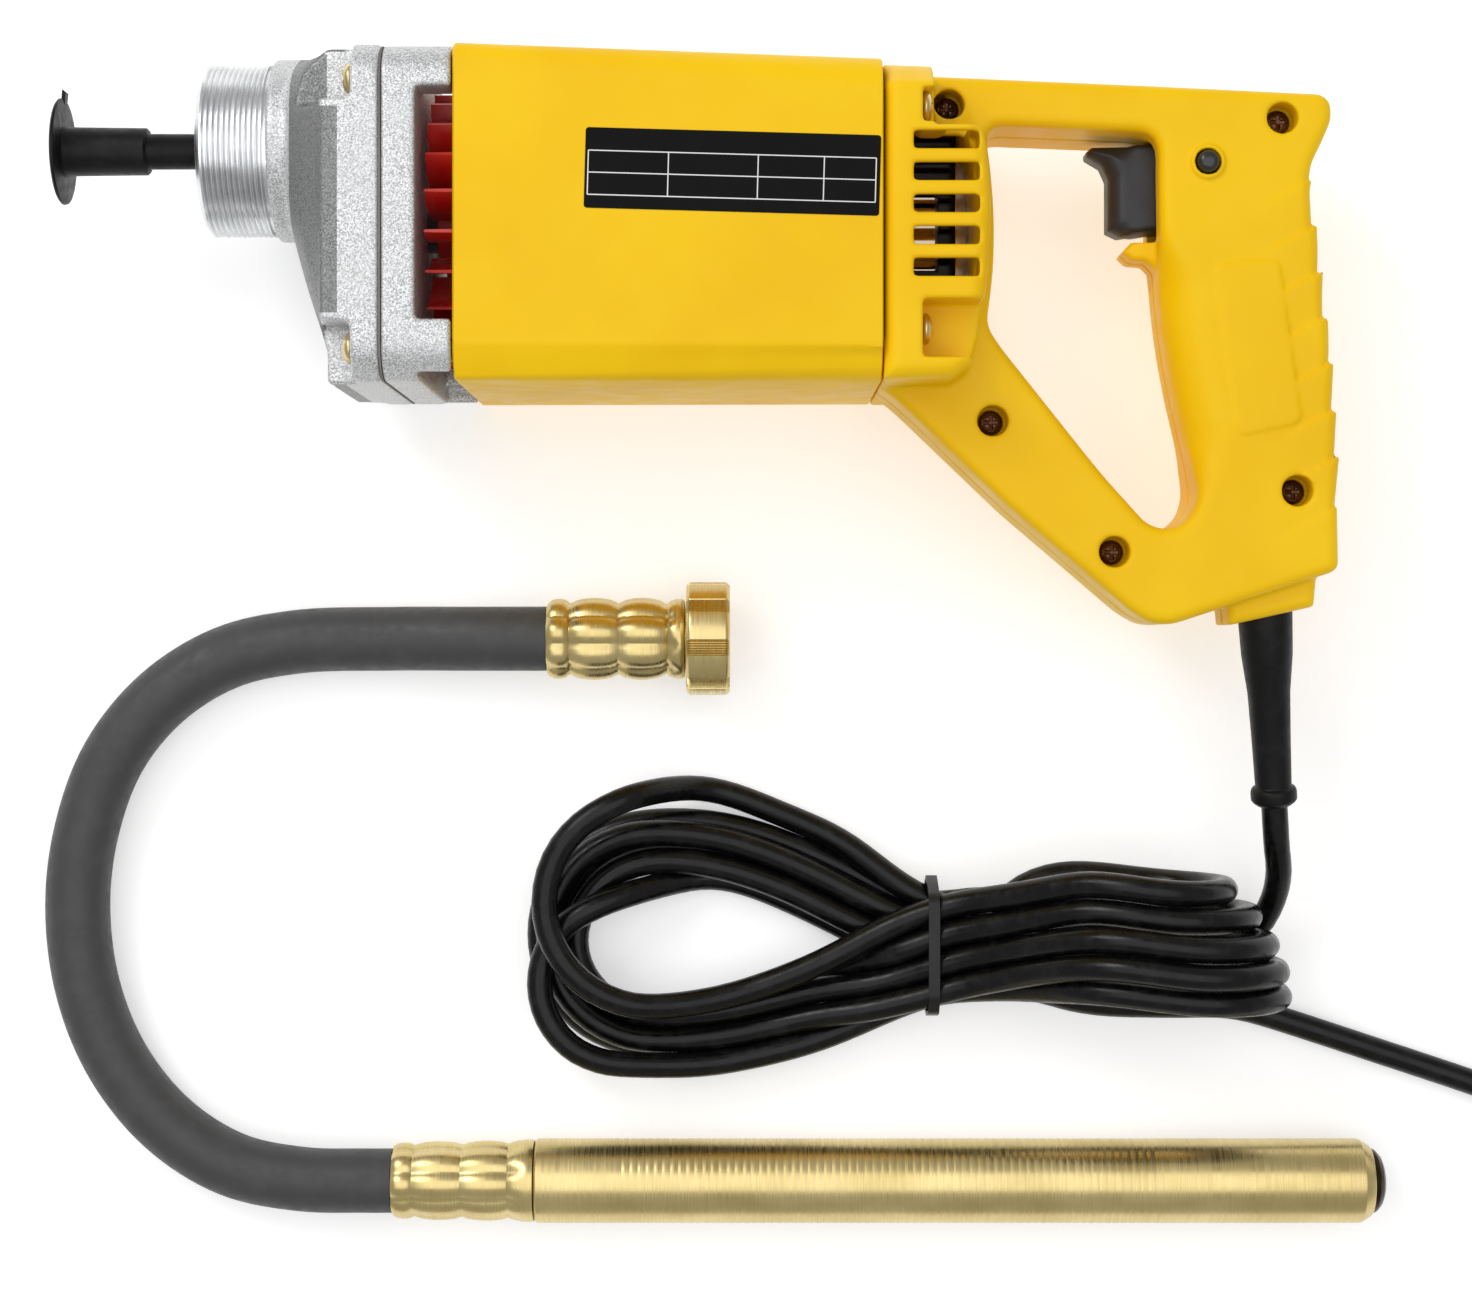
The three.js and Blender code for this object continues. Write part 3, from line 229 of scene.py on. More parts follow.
def settled(route, rounds=160, smoothing=0.5, homing=0.01, pushing=0.3, neighbours=7, lead=12):
    """Lets the hank's strands push each other a diameter apart, stay smooth and lie on the floor.

    The first `lead` points stay where they are. Points fewer than `neighbours` apart along the cord
    don't push each other.
    """
    rest = np.array([tuple(p) for p in route])
    place = rest.copy()
    lengths = np.linalg.norm(np.diff(rest, axis=0), axis=1)
    order = np.arange(len(rest))
    near = np.abs(order[:, None] - order) < neighbours
    free = ((rest[:, 1] < HANK_TOP_Y) | (rest[:, 0] < WAIST_X)) & (rest[:, 0] < HANK_END_X)
    free[:lead] = False
    room_under = TIE_ROOM * np.exp(-(((rest[:, 0] - WAIST_X) / 14) ** 2))
    for _ in range(rounds):
        bend = np.zeros_like(place)
        bend[2:-2] = (4 * (place[1:-3] + place[3:-1]) - place[:-4] - place[4:]) / 6 - place[2:-2]
        push = smoothing * bend + homing * (rest - place)
        gaps = place[:, None] - place
        apart = np.sqrt((gaps**2).sum(2))
        overlap = np.where(near, 0, np.maximum(CORD_D + STRAND_ROOM - apart, 0)) / np.maximum(apart, 0.5)
        push += pushing * (overlap[..., None] * gaps).sum(1)
        place[free] += push[free]
        for first in (0, 1):
            a, b = place[first:-1:2], place[first + 1 :: 2]
            edge = b - a
            size = np.linalg.norm(edge, axis=1)
            shift = 0.5 * edge * ((size - lengths[first::2]) / size)[:, None]
            a[free[first:-1:2]] += shift[free[first:-1:2]]
            b[free[first + 1 :: 2]] -= shift[free[first + 1 :: 2]]
        place[:, 2] = np.maximum(place[:, 2], LAYER[0] + room_under)
    eased = 0.5 * place[1:-1] + 0.25 * (place[:-2] + place[2:])
    place[1:-1][free[1:-1]] = eased[free[1:-1]]
    return [Vector(p) for p in place]


# ------------------------------------------------------------------ materials

LEVELS = (0.35, 0.65)  # where a noise texture, which seldom leaves these, goes from none to full


class Nodes:
    """Short ways to add nodes to one material."""

    def __init__(self, name):
        self.material = bpy.data.materials.new(name)
        self.material.use_nodes = True
        self.tree = self.material.node_tree
        self.shader = self.tree.nodes["Principled BSDF"]
        self.place = self.tree.nodes.new("ShaderNodeTexCoord").outputs["Object"]

    def link(self, source, target):
        """Feeds one socket from another."""
        self.tree.links.new(source, target)

    def noise(self, size_mm, detail=3.0, stretch=(1, 1, 1)):
        """Noise of about that feature size, from 0 to 1, stretched along the frame's axes."""
        mapping = self.tree.nodes.new("ShaderNodeMapping")
        mapping.inputs["Scale"].default_value = [1 / (size_mm * MM * s) for s in stretch]
        self.link(self.place, mapping.inputs["Vector"])
        noise = self.tree.nodes.new("ShaderNodeTexNoise")
        noise.inputs["Scale"].default_value = 1.0
        noise.inputs["Detail"].default_value = detail
        self.link(mapping.outputs["Vector"], noise.inputs["Vector"])
        return noise.outputs["Fac"]

    def range(self, source, low, high, span=LEVELS):
        """The source, from one span to another."""
        node = self.tree.nodes.new("ShaderNodeMapRange")
        node.inputs["From Min"].default_value, node.inputs["From Max"].default_value = span
        node.inputs["To Min"].default_value, node.inputs["To Max"].default_value = low, high
        self.link(source, node.inputs["Value"])
        return node.outputs["Result"]

    def mix(self, factor, first, second):
        """A colour between two, each a tuple or a socket."""
        node = self.tree.nodes.new("ShaderNodeMix")
        node.data_type = "RGBA"
        self.link(factor, node.inputs["Factor"])
        for value, socket in ((first, node.inputs[6]), (second, node.inputs[7])):
            if isinstance(value, tuple):
                socket.default_value = (*value, 1.0)
            else:
                self.link(value, socket)
        return node.outputs[2]

    def bump(self, *layers):
        """Bumps of (height source, depth in mm), one on the other."""
        normal = None
        for source, depth in layers:
            node = self.tree.nodes.new("ShaderNodeBump")
            node.inputs["Strength"].default_value = 1.0
            node.inputs["Distance"].default_value = depth * MM
            self.link(source, node.inputs["Height"])
            if normal:
                self.link(normal, node.inputs["Normal"])
            normal = node.outputs["Normal"]
        self.link(normal, self.shader.inputs["Normal"])

    def edge_wear(self):
        """0 on flat ground, 1 on sharp convex edges."""
        geometry = self.tree.nodes.new("ShaderNodeNewGeometry")
        return self.range(geometry.outputs["Pointiness"], 0.0, 1.0, (0.58, 0.72))

    def set(self, **values):
        """Uniform values on the shader's own sockets."""
        for name, value in values.items():
            self.shader.inputs[name.replace("_", " ")].default_value = value


def moulded(name, colour, deep, roughness, grain=0.02, grain_mm=0.5, wear=None, **more):
    """Moulded plastic: slow colour drift, faint flow marks, fine grain, and paler worn edges."""
    n = Nodes(name)
    drift = n.range(n.noise(38, 2), 0.0, 1.0)
    base = n.mix(drift, deep, colour)
    if wear:
        base = n.mix(n.edge_wear(), base, wear)
    n.link(base, n.shader.inputs["Base Color"])
    patches = n.noise(9, 4)
    n.link(n.range(patches, roughness - 0.06, roughness + 0.07), n.shader.inputs["Roughness"])
    n.bump((n.noise(grain_mm, 2), grain), (n.noise(14, 2, (3, 1, 1)), 0.05))
    n.set(**more)
    return n.material


def sand_cast(name, shade=1.0):
    """Cast aluminium: bright and dark specks under a millimetre across, pitted all over. A shade below one
    darkens all its colours, as painted shade on hollows that the light doesn't reach."""
    n = Nodes(name)
    speck = n.range(n.noise(0.45, 3), 0.0, 1.0, (0.38, 0.62))
    cloud = n.range(n.noise(16, 3), 0.0, 0.4)
    # shade scales every colour; below one it is painted shade
    dark, bright, dull = ((g * shade, 1.01 * g * shade, 1.02 * g * shade) for g in (0.32, 0.86, 0.6))
    base = n.mix(speck, dark, bright)
    n.link(n.mix(cloud, base, dull), n.shader.inputs["Base Color"])
    n.link(n.range(n.noise(0.8, 3), 0.34, 0.6), n.shader.inputs["Roughness"])
    n.bump((n.noise(0.7, 3), 0.16), (n.noise(5, 2), 0.12))
    n.set(Metallic=0.55)
    return n.material


def turned_metal(name, colour, dark, roughness, along="x", metallic=1.0, ring=0.012):
    """Turned metal: fine rings round the axis, streaks and a little dulling."""
    n = Nodes(name)
    rings = n.noise(0.35, 2, (1, 60, 60) if along == "x" else (60, 60, 1))
    tarnish = n.range(n.noise(11, 4, (2, 1, 1)), 0.0, 1.0)
    n.link(n.mix(tarnish, dark, colour), n.shader.inputs["Base Color"])
    n.link(n.range(rings, roughness - 0.05, roughness + 0.09), n.shader.inputs["Roughness"])
    n.bump((rings, ring), (n.noise(2.5, 3), 0.01))
    n.set(Metallic=metallic)
    return n.material


def rubber(name, colour, worn, roughness, scuff=0.03, shine=0.4):
    """Rubber or soft PVC: greyed scuffs, fine skin and extrusion waviness."""
    n = Nodes(name)
    scuffs = n.range(n.noise(6, 5), 0.0, 1.0, (0.5, 0.72))
    n.link(n.mix(scuffs, colour, worn), n.shader.inputs["Base Color"])
    n.link(n.range(n.noise(3, 4), roughness - 0.06, roughness + 0.1), n.shader.inputs["Roughness"])
    n.bump((n.noise(0.6, 3), scuff), (n.noise(7, 2), 0.08))
    n.set(Specular_IOR_Level=shine)
    return n.material


def printed_film():
    """Black film of the name plate, nearly flat, with a soft uneven shine."""
    n = Nodes("label_film")
    n.link(n.mix(n.noise(20, 3), (0.003, 0.003, 0.003), (0.006, 0.006, 0.006)), n.shader.inputs["Base Color"])
    n.link(n.range(n.noise(5, 3), 0.26, 0.4), n.shader.inputs["Roughness"])
    n.bump((n.noise(1.2, 2), 0.01), (n.noise(12, 2), 0.05))
    n.set(Specular_IOR_Level=0.06)
    return n.material


def floor_material():
    """Matt white floor that glows a little, so that it stays white between the lights."""
    n = Nodes("studio_floor")
    n.link(n.mix(n.noise(60, 2), (0.78, 0.78, 0.78), (0.80, 0.80, 0.80)), n.shader.inputs["Base Color"])
    n.set(Roughness=0.75, Emission_Color=(1.0, 1.0, 1.0, 1.0), Emission_Strength=0.42)
    return n.material


LOOKS = {
    "yellow": moulded(
        "yellow_plastic", (0.91, 0.565, 0.003), (0.87, 0.515, 0.002), 0.42, 0.016, 0.6, (0.93, 0.64, 0.04),
        Specular_IOR_Level=0.17,
    ),
    "cast": sand_cast("cast_aluminium_tumbled"),
    # painted shade: the cast aluminium at about a third of its brightness, for the front casting's hollow
    "cast_painted_shade": sand_cast("cast_aluminium_painted_shade", 0.36),
    "machined": turned_metal("machined_aluminium", (0.84, 0.85, 0.86), (0.68, 0.69, 0.70), 0.26, ring=0.02),
    "steel": turned_metal("bright_steel", (0.62, 0.63, 0.65), (0.45, 0.46, 0.48), 0.3),
    # painted shade: steel darkened almost to black, for the parts seen deep in the vents
    "painted_shade_steel": turned_metal("steel_in_painted_shade", (0.10, 0.085, 0.07), (0.04, 0.035, 0.03), 0.5),
    "laminated": turned_metal("laminated_steel", (0.36, 0.37, 0.38), (0.22, 0.22, 0.23), 0.45),
    "copper": turned_metal("copper", (0.72, 0.34, 0.16), (0.5, 0.22, 0.1), 0.35),
    "brass": turned_metal("satin_brass", (0.71, 0.57, 0.27), (0.60, 0.47, 0.20), 0.3, ring=0.006),
    "zinc": turned_metal("yellow_zinc", (0.80, 0.66, 0.36), (0.55, 0.42, 0.2), 0.26),
    "bronze": turned_metal("dark_bronze", (0.16, 0.085, 0.045), (0.07, 0.035, 0.02), 0.3, "z"),
    "tip": turned_metal("dark_tip", (0.05, 0.032, 0.018), (0.02, 0.013, 0.008), 0.3),
    "black": moulded(
        "black_plastic", (0.008, 0.008, 0.009), (0.005, 0.005, 0.006), 0.36, 0.012, 0.8, (0.02, 0.02, 0.02),
        Specular_IOR_Level=0.3,
    ),
    "dome": moulded("button_plastic", (0.02, 0.02, 0.022), (0.014, 0.014, 0.015), 0.22, 0.006, 0.8),
    "charcoal": moulded(
        "charcoal_plastic", (0.02, 0.02, 0.023), (0.014, 0.014, 0.016), 0.42, 0.07, 0.55, (0.05, 0.05, 0.055),
        Specular_IOR_Level=0.4,
    ),
    "red": moulded(
        "red_plastic", (0.62, 0.013, 0.008), (0.45, 0.008, 0.006), 0.3, 0.012, 1.0, (0.85, 0.07, 0.04),
    ),
    "hose": rubber("hose_rubber", (0.052, 0.052, 0.053), (0.062, 0.062, 0.063), 0.5),
    "rubber": rubber("black_rubber", (0.006, 0.006, 0.006), (0.012, 0.012, 0.012), 0.4, 0.02, 0.17),
    "cord": rubber("cord_pvc", (0.003, 0.003, 0.003), (0.009, 0.009, 0.009), 0.26, 0.01, 0.25),
    "label": printed_film(),
    "print": moulded("label_print", (0.8, 0.8, 0.8), (0.7, 0.7, 0.7), 0.45),
    "carbon": moulded("carbon", (0.03, 0.03, 0.03), (0.02, 0.02, 0.02), 0.6, 0.05, 0.6),
    "fibre": moulded("gasket_paper", (0.24, 0.22, 0.2), (0.16, 0.145, 0.13), 0.8, 0.05, 0.4),
    "floor": floor_material(),
}

SLOT_LOOKS = {
    "yellow_plastic": "yellow", "cast_aluminium": "cast", "gasket_fibre": "fibre", "bright_steel": "steel",
    "laminated_steel": "laminated", "copper": "copper", "brass_plate": "brass", "zinc_screw": "zinc",
    "bronze_screw": "bronze", "black_plastic": "black", "charcoal_plastic": "charcoal",
    "hose_rubber": "hose", "black_rubber": "rubber", "red_plastic": "red", "label_black": "label",
    "carbon": "carbon",
}
# the steel seen through the vents is darkened as painted shade
NODE_LOOKS = {"armature_bearing_rear": "painted_shade_steel", "armature_shaft": "painted_shade_steel"}  # these show in the vents


def dress_cad_nodes():
    """Gives every CAD node the material of its slot in the record, or its own darker one."""
    for entry in frame["record"]["subparts"]:
        mesh = frame["nodes"][entry["node"]].data
        look = NODE_LOOKS.get(entry["node"], SLOT_LOOKS[entry["material_slot"]])
        mesh.materials.clear()
        mesh.materials.append(LOOKS[look])


# ------------------------------------------------------------------ meshes


def piece(name, points, faces, materials, body, replaced=(), sharp_degrees=35, face_slots=None):
    """One mesh piece from points in mm. It rides on a body and may stand for CAD nodes."""
    mesh = bpy.data.meshes.new(name)
    mesh.from_pydata([tuple(p) for p in np.asarray(points, float) * MM], [], faces)
    for look in materials:
        mesh.materials.append(LOOKS[look])
    if face_slots is not None:
        mesh.polygons.foreach_set("material_index", face_slots)
    mesh.validate()
    mesh.shade_smooth()
    mesh.set_sharp_from_angle(angle=math.radians(sharp_degrees))
    made = bpy.data.objects.new(name, mesh)
    bpy.context.scene.collection.objects.link(made)
    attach(made, body)
    if replaced:
        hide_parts(*replaced)
    return made


def axes_along(direction):
    """Two directions square to the given one."""
    direction = Vector(direction).normalized()
    side = Vector((0, 0, 1)) if abs(direction.z) < 0.9 else Vector((0, 1, 0))
    across = direction.cross(side).normalized()
    return across, direction.cross(across)


def lathe(profile, origin, direction=(1, 0, 0), sides=96, closed=False):
    """Points and faces of [distance, radius] points turned about a line. An open profile starts and
    ends on the axis; a closed one is a ring."""
    origin, direction = Vector(origin), Vector(direction).normalized()
    across, up = axes_along(direction)
    points, rows = [], []
    for distance, radius in profile:
        if radius < 1e-6:
            rows.append([len(points)] * sides)
            points.append(origin + direction * distance)
            continue
        rows.append(list(range(len(points), len(points) + sides)))
        for k in range(sides):
            a = 2 * math.pi * k / sides
            spoke = across * math.cos(a) + up * math.sin(a)
            points.append(origin + direction * distance + spoke * radius)
    faces = []
    pairs = list(zip(rows, rows[1:] + rows[:1] if closed else rows[1:]))
    for low, high in pairs:
        for k in range(sides):
            n = (k + 1) % sides
            corners = dict.fromkeys((low[k], low[n], high[n], high[k]))
            if len(corners) > 2:
                faces.append(tuple(corners))
    return outward(points, faces)


def ring_faces(rows, count, closed=True):
    """Quads between successive rings of `count` points, each ring given by its first point's number."""
    following = rows[1:] + rows[:1] if closed else rows[1:]
    faces = []
    for low, high in zip(rows, following):
        for k in range(count):
            n = (k + 1) % count
            faces.append((low + k, low + n, high + n, high + k))
    return faces


def outward(points, faces):
    """Turns the faces round if they look inwards."""
    place = np.array([tuple(p) for p in points])
    volume = 0.0
    for face in faces:
        a, b, c = place[face[0]], place[face[1]], place[face[2]]
        volume += np.dot(a, np.cross(b, c))
        if len(face) == 4:
            volume += np.dot(a, np.cross(c, place[face[3]]))
    return place, ([face[::-1] for face in faces] if volume < 0 else faces)


def rounded(profile, radius=0.5, steps=3):
    """The profile with its inner corners cut to small arcs."""
    result = [profile[0]]
    for before, corner, after in zip(profile, profile[1:], profile[2:]):
        a, p, b = (np.array(q, float) for q in (before, corner, after))
        reach_a, reach_b = np.linalg.norm(a - p), np.linalg.norm(b - p)
        r = min(radius, 0.45 * reach_a, 0.45 * reach_b)
        if r < 0.05 or corner[1] < 1e-6:
            result.append(corner)
            continue
        start, end = p + (a - p) / reach_a * r, p + (b - p) / reach_b * r
        for i in range(steps + 1):
            t = i / steps
            result.append(tuple((1 - t) ** 2 * start + 2 * t * (1 - t) * p + t**2 * end))
    return [*result, profile[-1]]


# ------------------------------------------------------------------ solids from distance fields


class Block:
    """Voxels over a box, in mm. x, y and z are their places; a field is negative inside the solid."""

    def __init__(self, low, high, cell):
        self.cell = cell
        self.low = np.array(low, float) - 3 * cell
        counts = np.ceil((np.array(high, float) - self.low) / cell).astype(int) + 4
        axes = [(self.low[i] + cell * np.arange(counts[i])).astype(np.float32) for i in range(3)]
        self.x, self.y, self.z = np.meshgrid(*axes, indexing="ij", sparse=True)

    def mesh(self, field, flip_z=None):
        """Points and faces of the field's surface; flip_z mirrors them in that plane."""
        reach = 3 * self.cell
        grid = openvdb.FloatGrid(reach)
        grid.copyFromArray(np.clip(field, -reach, reach).astype(np.float32))
        points, quads = grid.convertToQuads(0.0)
        points = points * self.cell + self.low
        if flip_z is not None:
            points[:, 2] = 2 * flip_z - points[:, 2]
        return outward_quads(points, quads)


def outward_quads(points, quads):
    """As outward(), for an array of quads."""
    a, b, c, d = (points[quads[:, i]] for i in range(4))
    volume = (a * np.cross(b, c)).sum() + (a * np.cross(c, d)).sum()
    return points, (quads[:, ::-1] if volume < 0 else quads).tolist()


def outline_distance(points, u, v):
    """Signed distance in a plane to a closed outline, negative inside."""
    nearest = np.full(np.broadcast(u, v).shape, 1e9, np.float32)
    inside = np.zeros(nearest.shape, bool)
    for (u0, v0), (u1, v1) in zip(points, [*points[1:], points[0]]):
        du, dv = u1 - u0, v1 - v0
        t = np.clip(((u - u0) * du + (v - v0) * dv) / (du * du + dv * dv), 0, 1)
        nearest = np.minimum(nearest, (u - u0 - t * du) ** 2 + (v - v0 - t * dv) ** 2)
        if v0 != v1:
            crossed = ((v0 > v) != (v1 > v)) & (u < (v - v0) * du / dv + u0)
            inside ^= crossed
    return np.where(inside, -1, 1) * np.sqrt(nearest)


def round_max(a, b, r):
    """Where both solids are; the edge between them is rounded."""
    return np.minimum(np.maximum(a, b), -r) + np.hypot(np.maximum(a + r, 0), np.maximum(b + r, 0))


def smooth_min(a, b, k):
    """Either solid, with a fillet where they meet."""
    h = np.maximum(k - np.abs(a - b), 0) / k
    return np.minimum(a, b) - h * h * k / 4


def box_distance(x, y, z, low, high, r=0.0):
    """Distance to a box with edges rounded by r."""
    gaps = [np.abs(v - (a + b) / 2) - (b - a) / 2 + r for v, a, b in zip((x, y, z), low, high)]
    outside = np.sqrt(sum(np.maximum(g, 0) ** 2 for g in gaps))
    return outside + np.minimum(np.maximum(np.maximum(gaps[0], gaps[1]), gaps[2]), 0) - r


def ramp(value, low, high):
    """0 below low, 1 above high, smooth between."""
    t = np.clip((value - low) / (high - low), 0, 1)
    return t * t * (3 - 2 * t)


# ------------------------------------------------------------------ handle shells

HANDLE_HALF, HOUSING_HALF, SHELL_WALL = 20.0, 47.2, 3.2
SEAM_X = 42.0
HANDLE_OUTLINE = [
    (42, 170.8), (120, 167.4), (172, 164.9), (174.6, 162.5), (175, 157.5), (172, 150.5), (169, 144.5),
    (168, 137), (171, 119.5), (172.4, 104.5), (174.6, 89.5), (176.4, 60.5), (177, 25), (128, 9),
    (122, 9.4), (116, 12.8), (80, 43.6), (52, 70.4), (46.5, 75.5), (42, 78.6),
]
OPENING_OUTLINE = [
    (73, 155.6), (124.3, 153.6), (124.2, 139), (125, 108.5), (126.6, 93), (129.3, 77.8), (133, 62.5),
    (136, 48.5), (134.6, 42.4), (130.5, 38.2), (125.5, 37), (120.5, 38.8), (107, 53.8), (92.4, 72.2),
    (77.8, 90.6), (73.6, 97), (75.6, 112), (76, 127), (75, 142),
]
HOUSING_OUTLINE = [
    (42, 170.8), (64, 169.6), (67.6, 160.5), (71.4, 145), (72.7, 127), (71.6, 108), (69.6, 92),
    (67, 82.5), (62, 79), (42, 78.6),
]
LEDGE_OUTLINE = [
    (127, 125.4), (120.4, 125.2), (119, 124.2), (114.8, 119.8), (117.4, 117.3), (122, 117), (127, 112),
]
COLLAR_OUTLINE = [(145, 18), (145.8, 8.8), (171, 14.4), (172, 26)]
GRIP_PLATE = [(140.9, 113.9), (158.4, 115.4), (164.9, 68.8), (147.6, 65.0)]
SHELL_SCREWS = [(62.3, 161.3), (160.2, 157.6), (75.3, 68.8), (111, 30.4), (164.6, 48.3)]
BORE_R, BORE_FLOOR = 4.6, 9.7  # counterbores of the shell screws, the floor above the parting plane
HOUSING_NOTCH = (56.8, 151.0)  # beyond this corner the housing drops, to clear the first shell screw
NOTCH_DROP = 24.5
LOCK_BUTTON = (138.2, 144.6)
LOCK_HOLE_R, LOCK_RIM_R = 3.8, 5.2
HOUSING_SCREW_Y = (MOTOR_Y + 30.5, MOTOR_Y - 33)
HOUSING_SCREW_W, HOUSING_SCREW_SEAT = 38.0, 53.3
VENT_FIRST, VENT_PITCH, VENT_COUNT, VENT_HALF = 146.5, 9.05, 5, 2.6
RIB_FIRST, RIB_PITCH, RIB_COUNT, RIB_SLOPE = 140.3, 14.27, 8, 0.53


def softened(outline, radius):
    """The closed outline with its corners cut to arcs of about that size."""
    return rounded([outline[-1], *outline, outline[0]], radius, 4)[1:-1]


def rib_steps(x, y):
    """The saw-tooth steps down the rear of the grip: proud below each step, then fading to the next."""
    phase = (RIB_FIRST - y + RIB_SLOPE * (x - 170)) / RIB_PITCH
    tooth = 0.8 - 1.5 * (phase - np.floor(phase))
    on = (phase > 0) & (phase < RIB_COUNT - 1)
    rear_edge = 169 + 8 * ramp(140 - y, 0, 80)
    return np.where(on, tooth, 0) * ramp(x, rear_edge - 20, rear_edge - 8)


def vent_slots(x, y, w):
    """The row of slots in each side of the housing."""
    rows = [VENT_FIRST - VENT_PITCH * i for i in range(VENT_COUNT)]
    return np.minimum.reduce([
        box_distance(x, y, w, (50.4, middle - VENT_HALF, 33), (69.2, middle + VENT_HALF, 60), 0.9)
        for middle in rows
    ])


def screw_pockets(x, y, w):
    """The slots at the housing's corners, where the long screws' heads sit."""
    lower = box_distance(x, y, w, (53, 84.8, 31.5), (84, 101.4, 60), 1.2)
    upper = box_distance(x, y, w, (53, 151.6, 31.5), (58.5, 161.4, 60), 1.0)
    return np.minimum(lower, upper)


def housing_roof(x, y, near):
    """Height of the vented housing over the parting plane. It slopes down near the handle's top edge."""
    roof = HOUSING_HALF - 1.5 * np.maximum(y - 162.5, 0)
    if near:
        corner_x, corner_y = HOUSING_NOTCH
        notch = ramp(x, corner_x - 0.3, corner_x + 0.5) * ramp(y, corner_y, corner_y + 1.2)
        roof = roof - NOTCH_DROP * notch
    return roof


def with_button_and_plate(field, x, y, w):
    """Adds the grip's raised panel and the rim and hole of the lock button."""
    panel = outline_distance(softened(GRIP_PLATE, 2.5), x, y) - 0.8
    panel = round_max(panel, w - HANDLE_HALF - 0.6, 0.5)
    from_button = np.hypot(x - LOCK_BUTTON[0], y - LOCK_BUTTON[1])
    rim = round_max(from_button - LOCK_RIM_R, w - HANDLE_HALF - 1.3, 0.9)
    field = np.minimum(np.minimum(field, panel), rim)
    return round_max(field, -np.maximum(from_button - LOCK_HOLE_R, 8 - w), 0.4)


def shell_field(x, y, w, near):
    """One handle shell; w is the distance from the parting plane."""
    ribs = rib_steps(x, y)
    outer = outline_distance(softened(HANDLE_OUTLINE, 2.5), x, y) - ribs
    opening = outline_distance(softened(OPENING_OUTLINE, 7), x, y)
    body = round_max(outer, w - HANDLE_HALF - 0.6 * ribs, 3.4)
    on_grip = ramp(x, 116, 128) * ramp(y, 44, 66) * ramp(-y, -126, -108)
    body = round_max(body, -opening, 3.5 + 9.5 * on_grip)
    roof = housing_roof(x, y, near)
    housing_outline = outline_distance(HOUSING_OUTLINE, x, y)
    housing = round_max(housing_outline, w - roof, 5.0)
    field = smooth_min(body, housing, 2.0)
    ledge = round_max(outline_distance(LEDGE_OUTLINE, x, y), w - 9, 2.0)
    collar = round_max(outline_distance(COLLAR_OUTLINE, x, y), w - 13.5, 3.0)
    field = smooth_min(smooth_min(field, ledge, 1.2), collar, 1.0)
    if near:
        field = with_button_and_plate(field, x, y, w)
    pockets = screw_pockets(x, y, w)
    cavity = np.maximum(np.maximum(housing_outline + SHELL_WALL, w - roof + SHELL_WALL), x - 71)
    field = np.maximum(field, -np.maximum(cavity, 2.4 - pockets))
    field = round_max(field, -pockets, 0.7)
    field = round_max(field, -vent_slots(x, y, w), 0.5)
    if near:
        for sx, sy in SHELL_SCREWS:
            bore = np.maximum(np.hypot(x - sx, y - sy) - BORE_R, BORE_FLOOR - w)
            field = round_max(field, -bore, 0.5)
    trigger_slot = box_distance(x, y, w, (118, 122.6, -30), (139, 152.6, 9.6), 0.8)
    field = np.maximum(field, -trigger_slot)
    field = round_max(field, SEAM_X - x, 0.3)
    return round_max(field, 0.15 - w, 0.35)


def make_handle_shells():
    """Two mouldings that meet in the parting plane. The far one has less detail and is mirrored."""
    for name, near in (("near", True), ("far", False)):
        block = Block((SEAM_X, 7, 0), (178.5, 172, 47), 0.88)
        field = shell_field(block.x, block.y, block.z, near)
        block.low[2] += MID_Z
        points, faces = block.mesh(field, None if near else MID_Z)
        piece(f"handle_shell_{name}_moulding", points, faces, ["yellow"], "motor_unit",
              [f"handle_shell_{name}"], 180)


def make_brush_carrier():
    """Black carrier across the rear housing. It is what shows through the vents."""
    block = Block((44, 82, 37), (68, 166, 59), 0.7)
    x, y, z = block.x, block.y, block.z
    plate = box_distance(x, y, z, (45.5, 84.5, 42), (65.5, 162.5, 54), 2.0)
    from_rib = np.abs((y - MOTOR_Y + 4) % VENT_PITCH - 4.5)
    ribs = box_distance(x, from_rib, z, (46.5, -9, 38), (64.5, 1.1, 58), 0.8)
    ribs = np.maximum(ribs, np.abs(y - MOTOR_Y) - 33)
    bore = np.hypot(y - MOTOR_Y, z - MID_Z) - 13.0
    points, faces = block.mesh(np.maximum(np.minimum(plate, ribs), -np.maximum(bore, x - 60)))
    made = piece("brush_carrier", points, faces, ["black"], "motor_unit", sharp_degrees=60)
    face_outwards(made)


# ------------------------------------------------------------------ barrel and its plate

BARREL_FRONT, BARREL_REAR = -80.5, 41.7
BARREL_NEAR_Y, BARREL_FAR_Y = 78.5, 174.5
BARREL_DROP = 0.963  # height of the rear end as a share of the front's
BARREL_SIDE = 96.0  # height of its near face off the floor
BARREL_WALL = 3.0
PLATE = {"x": -1.0, "y": 137.0, "half": (41.8, 11.4), "turn": math.radians(-1.6)}


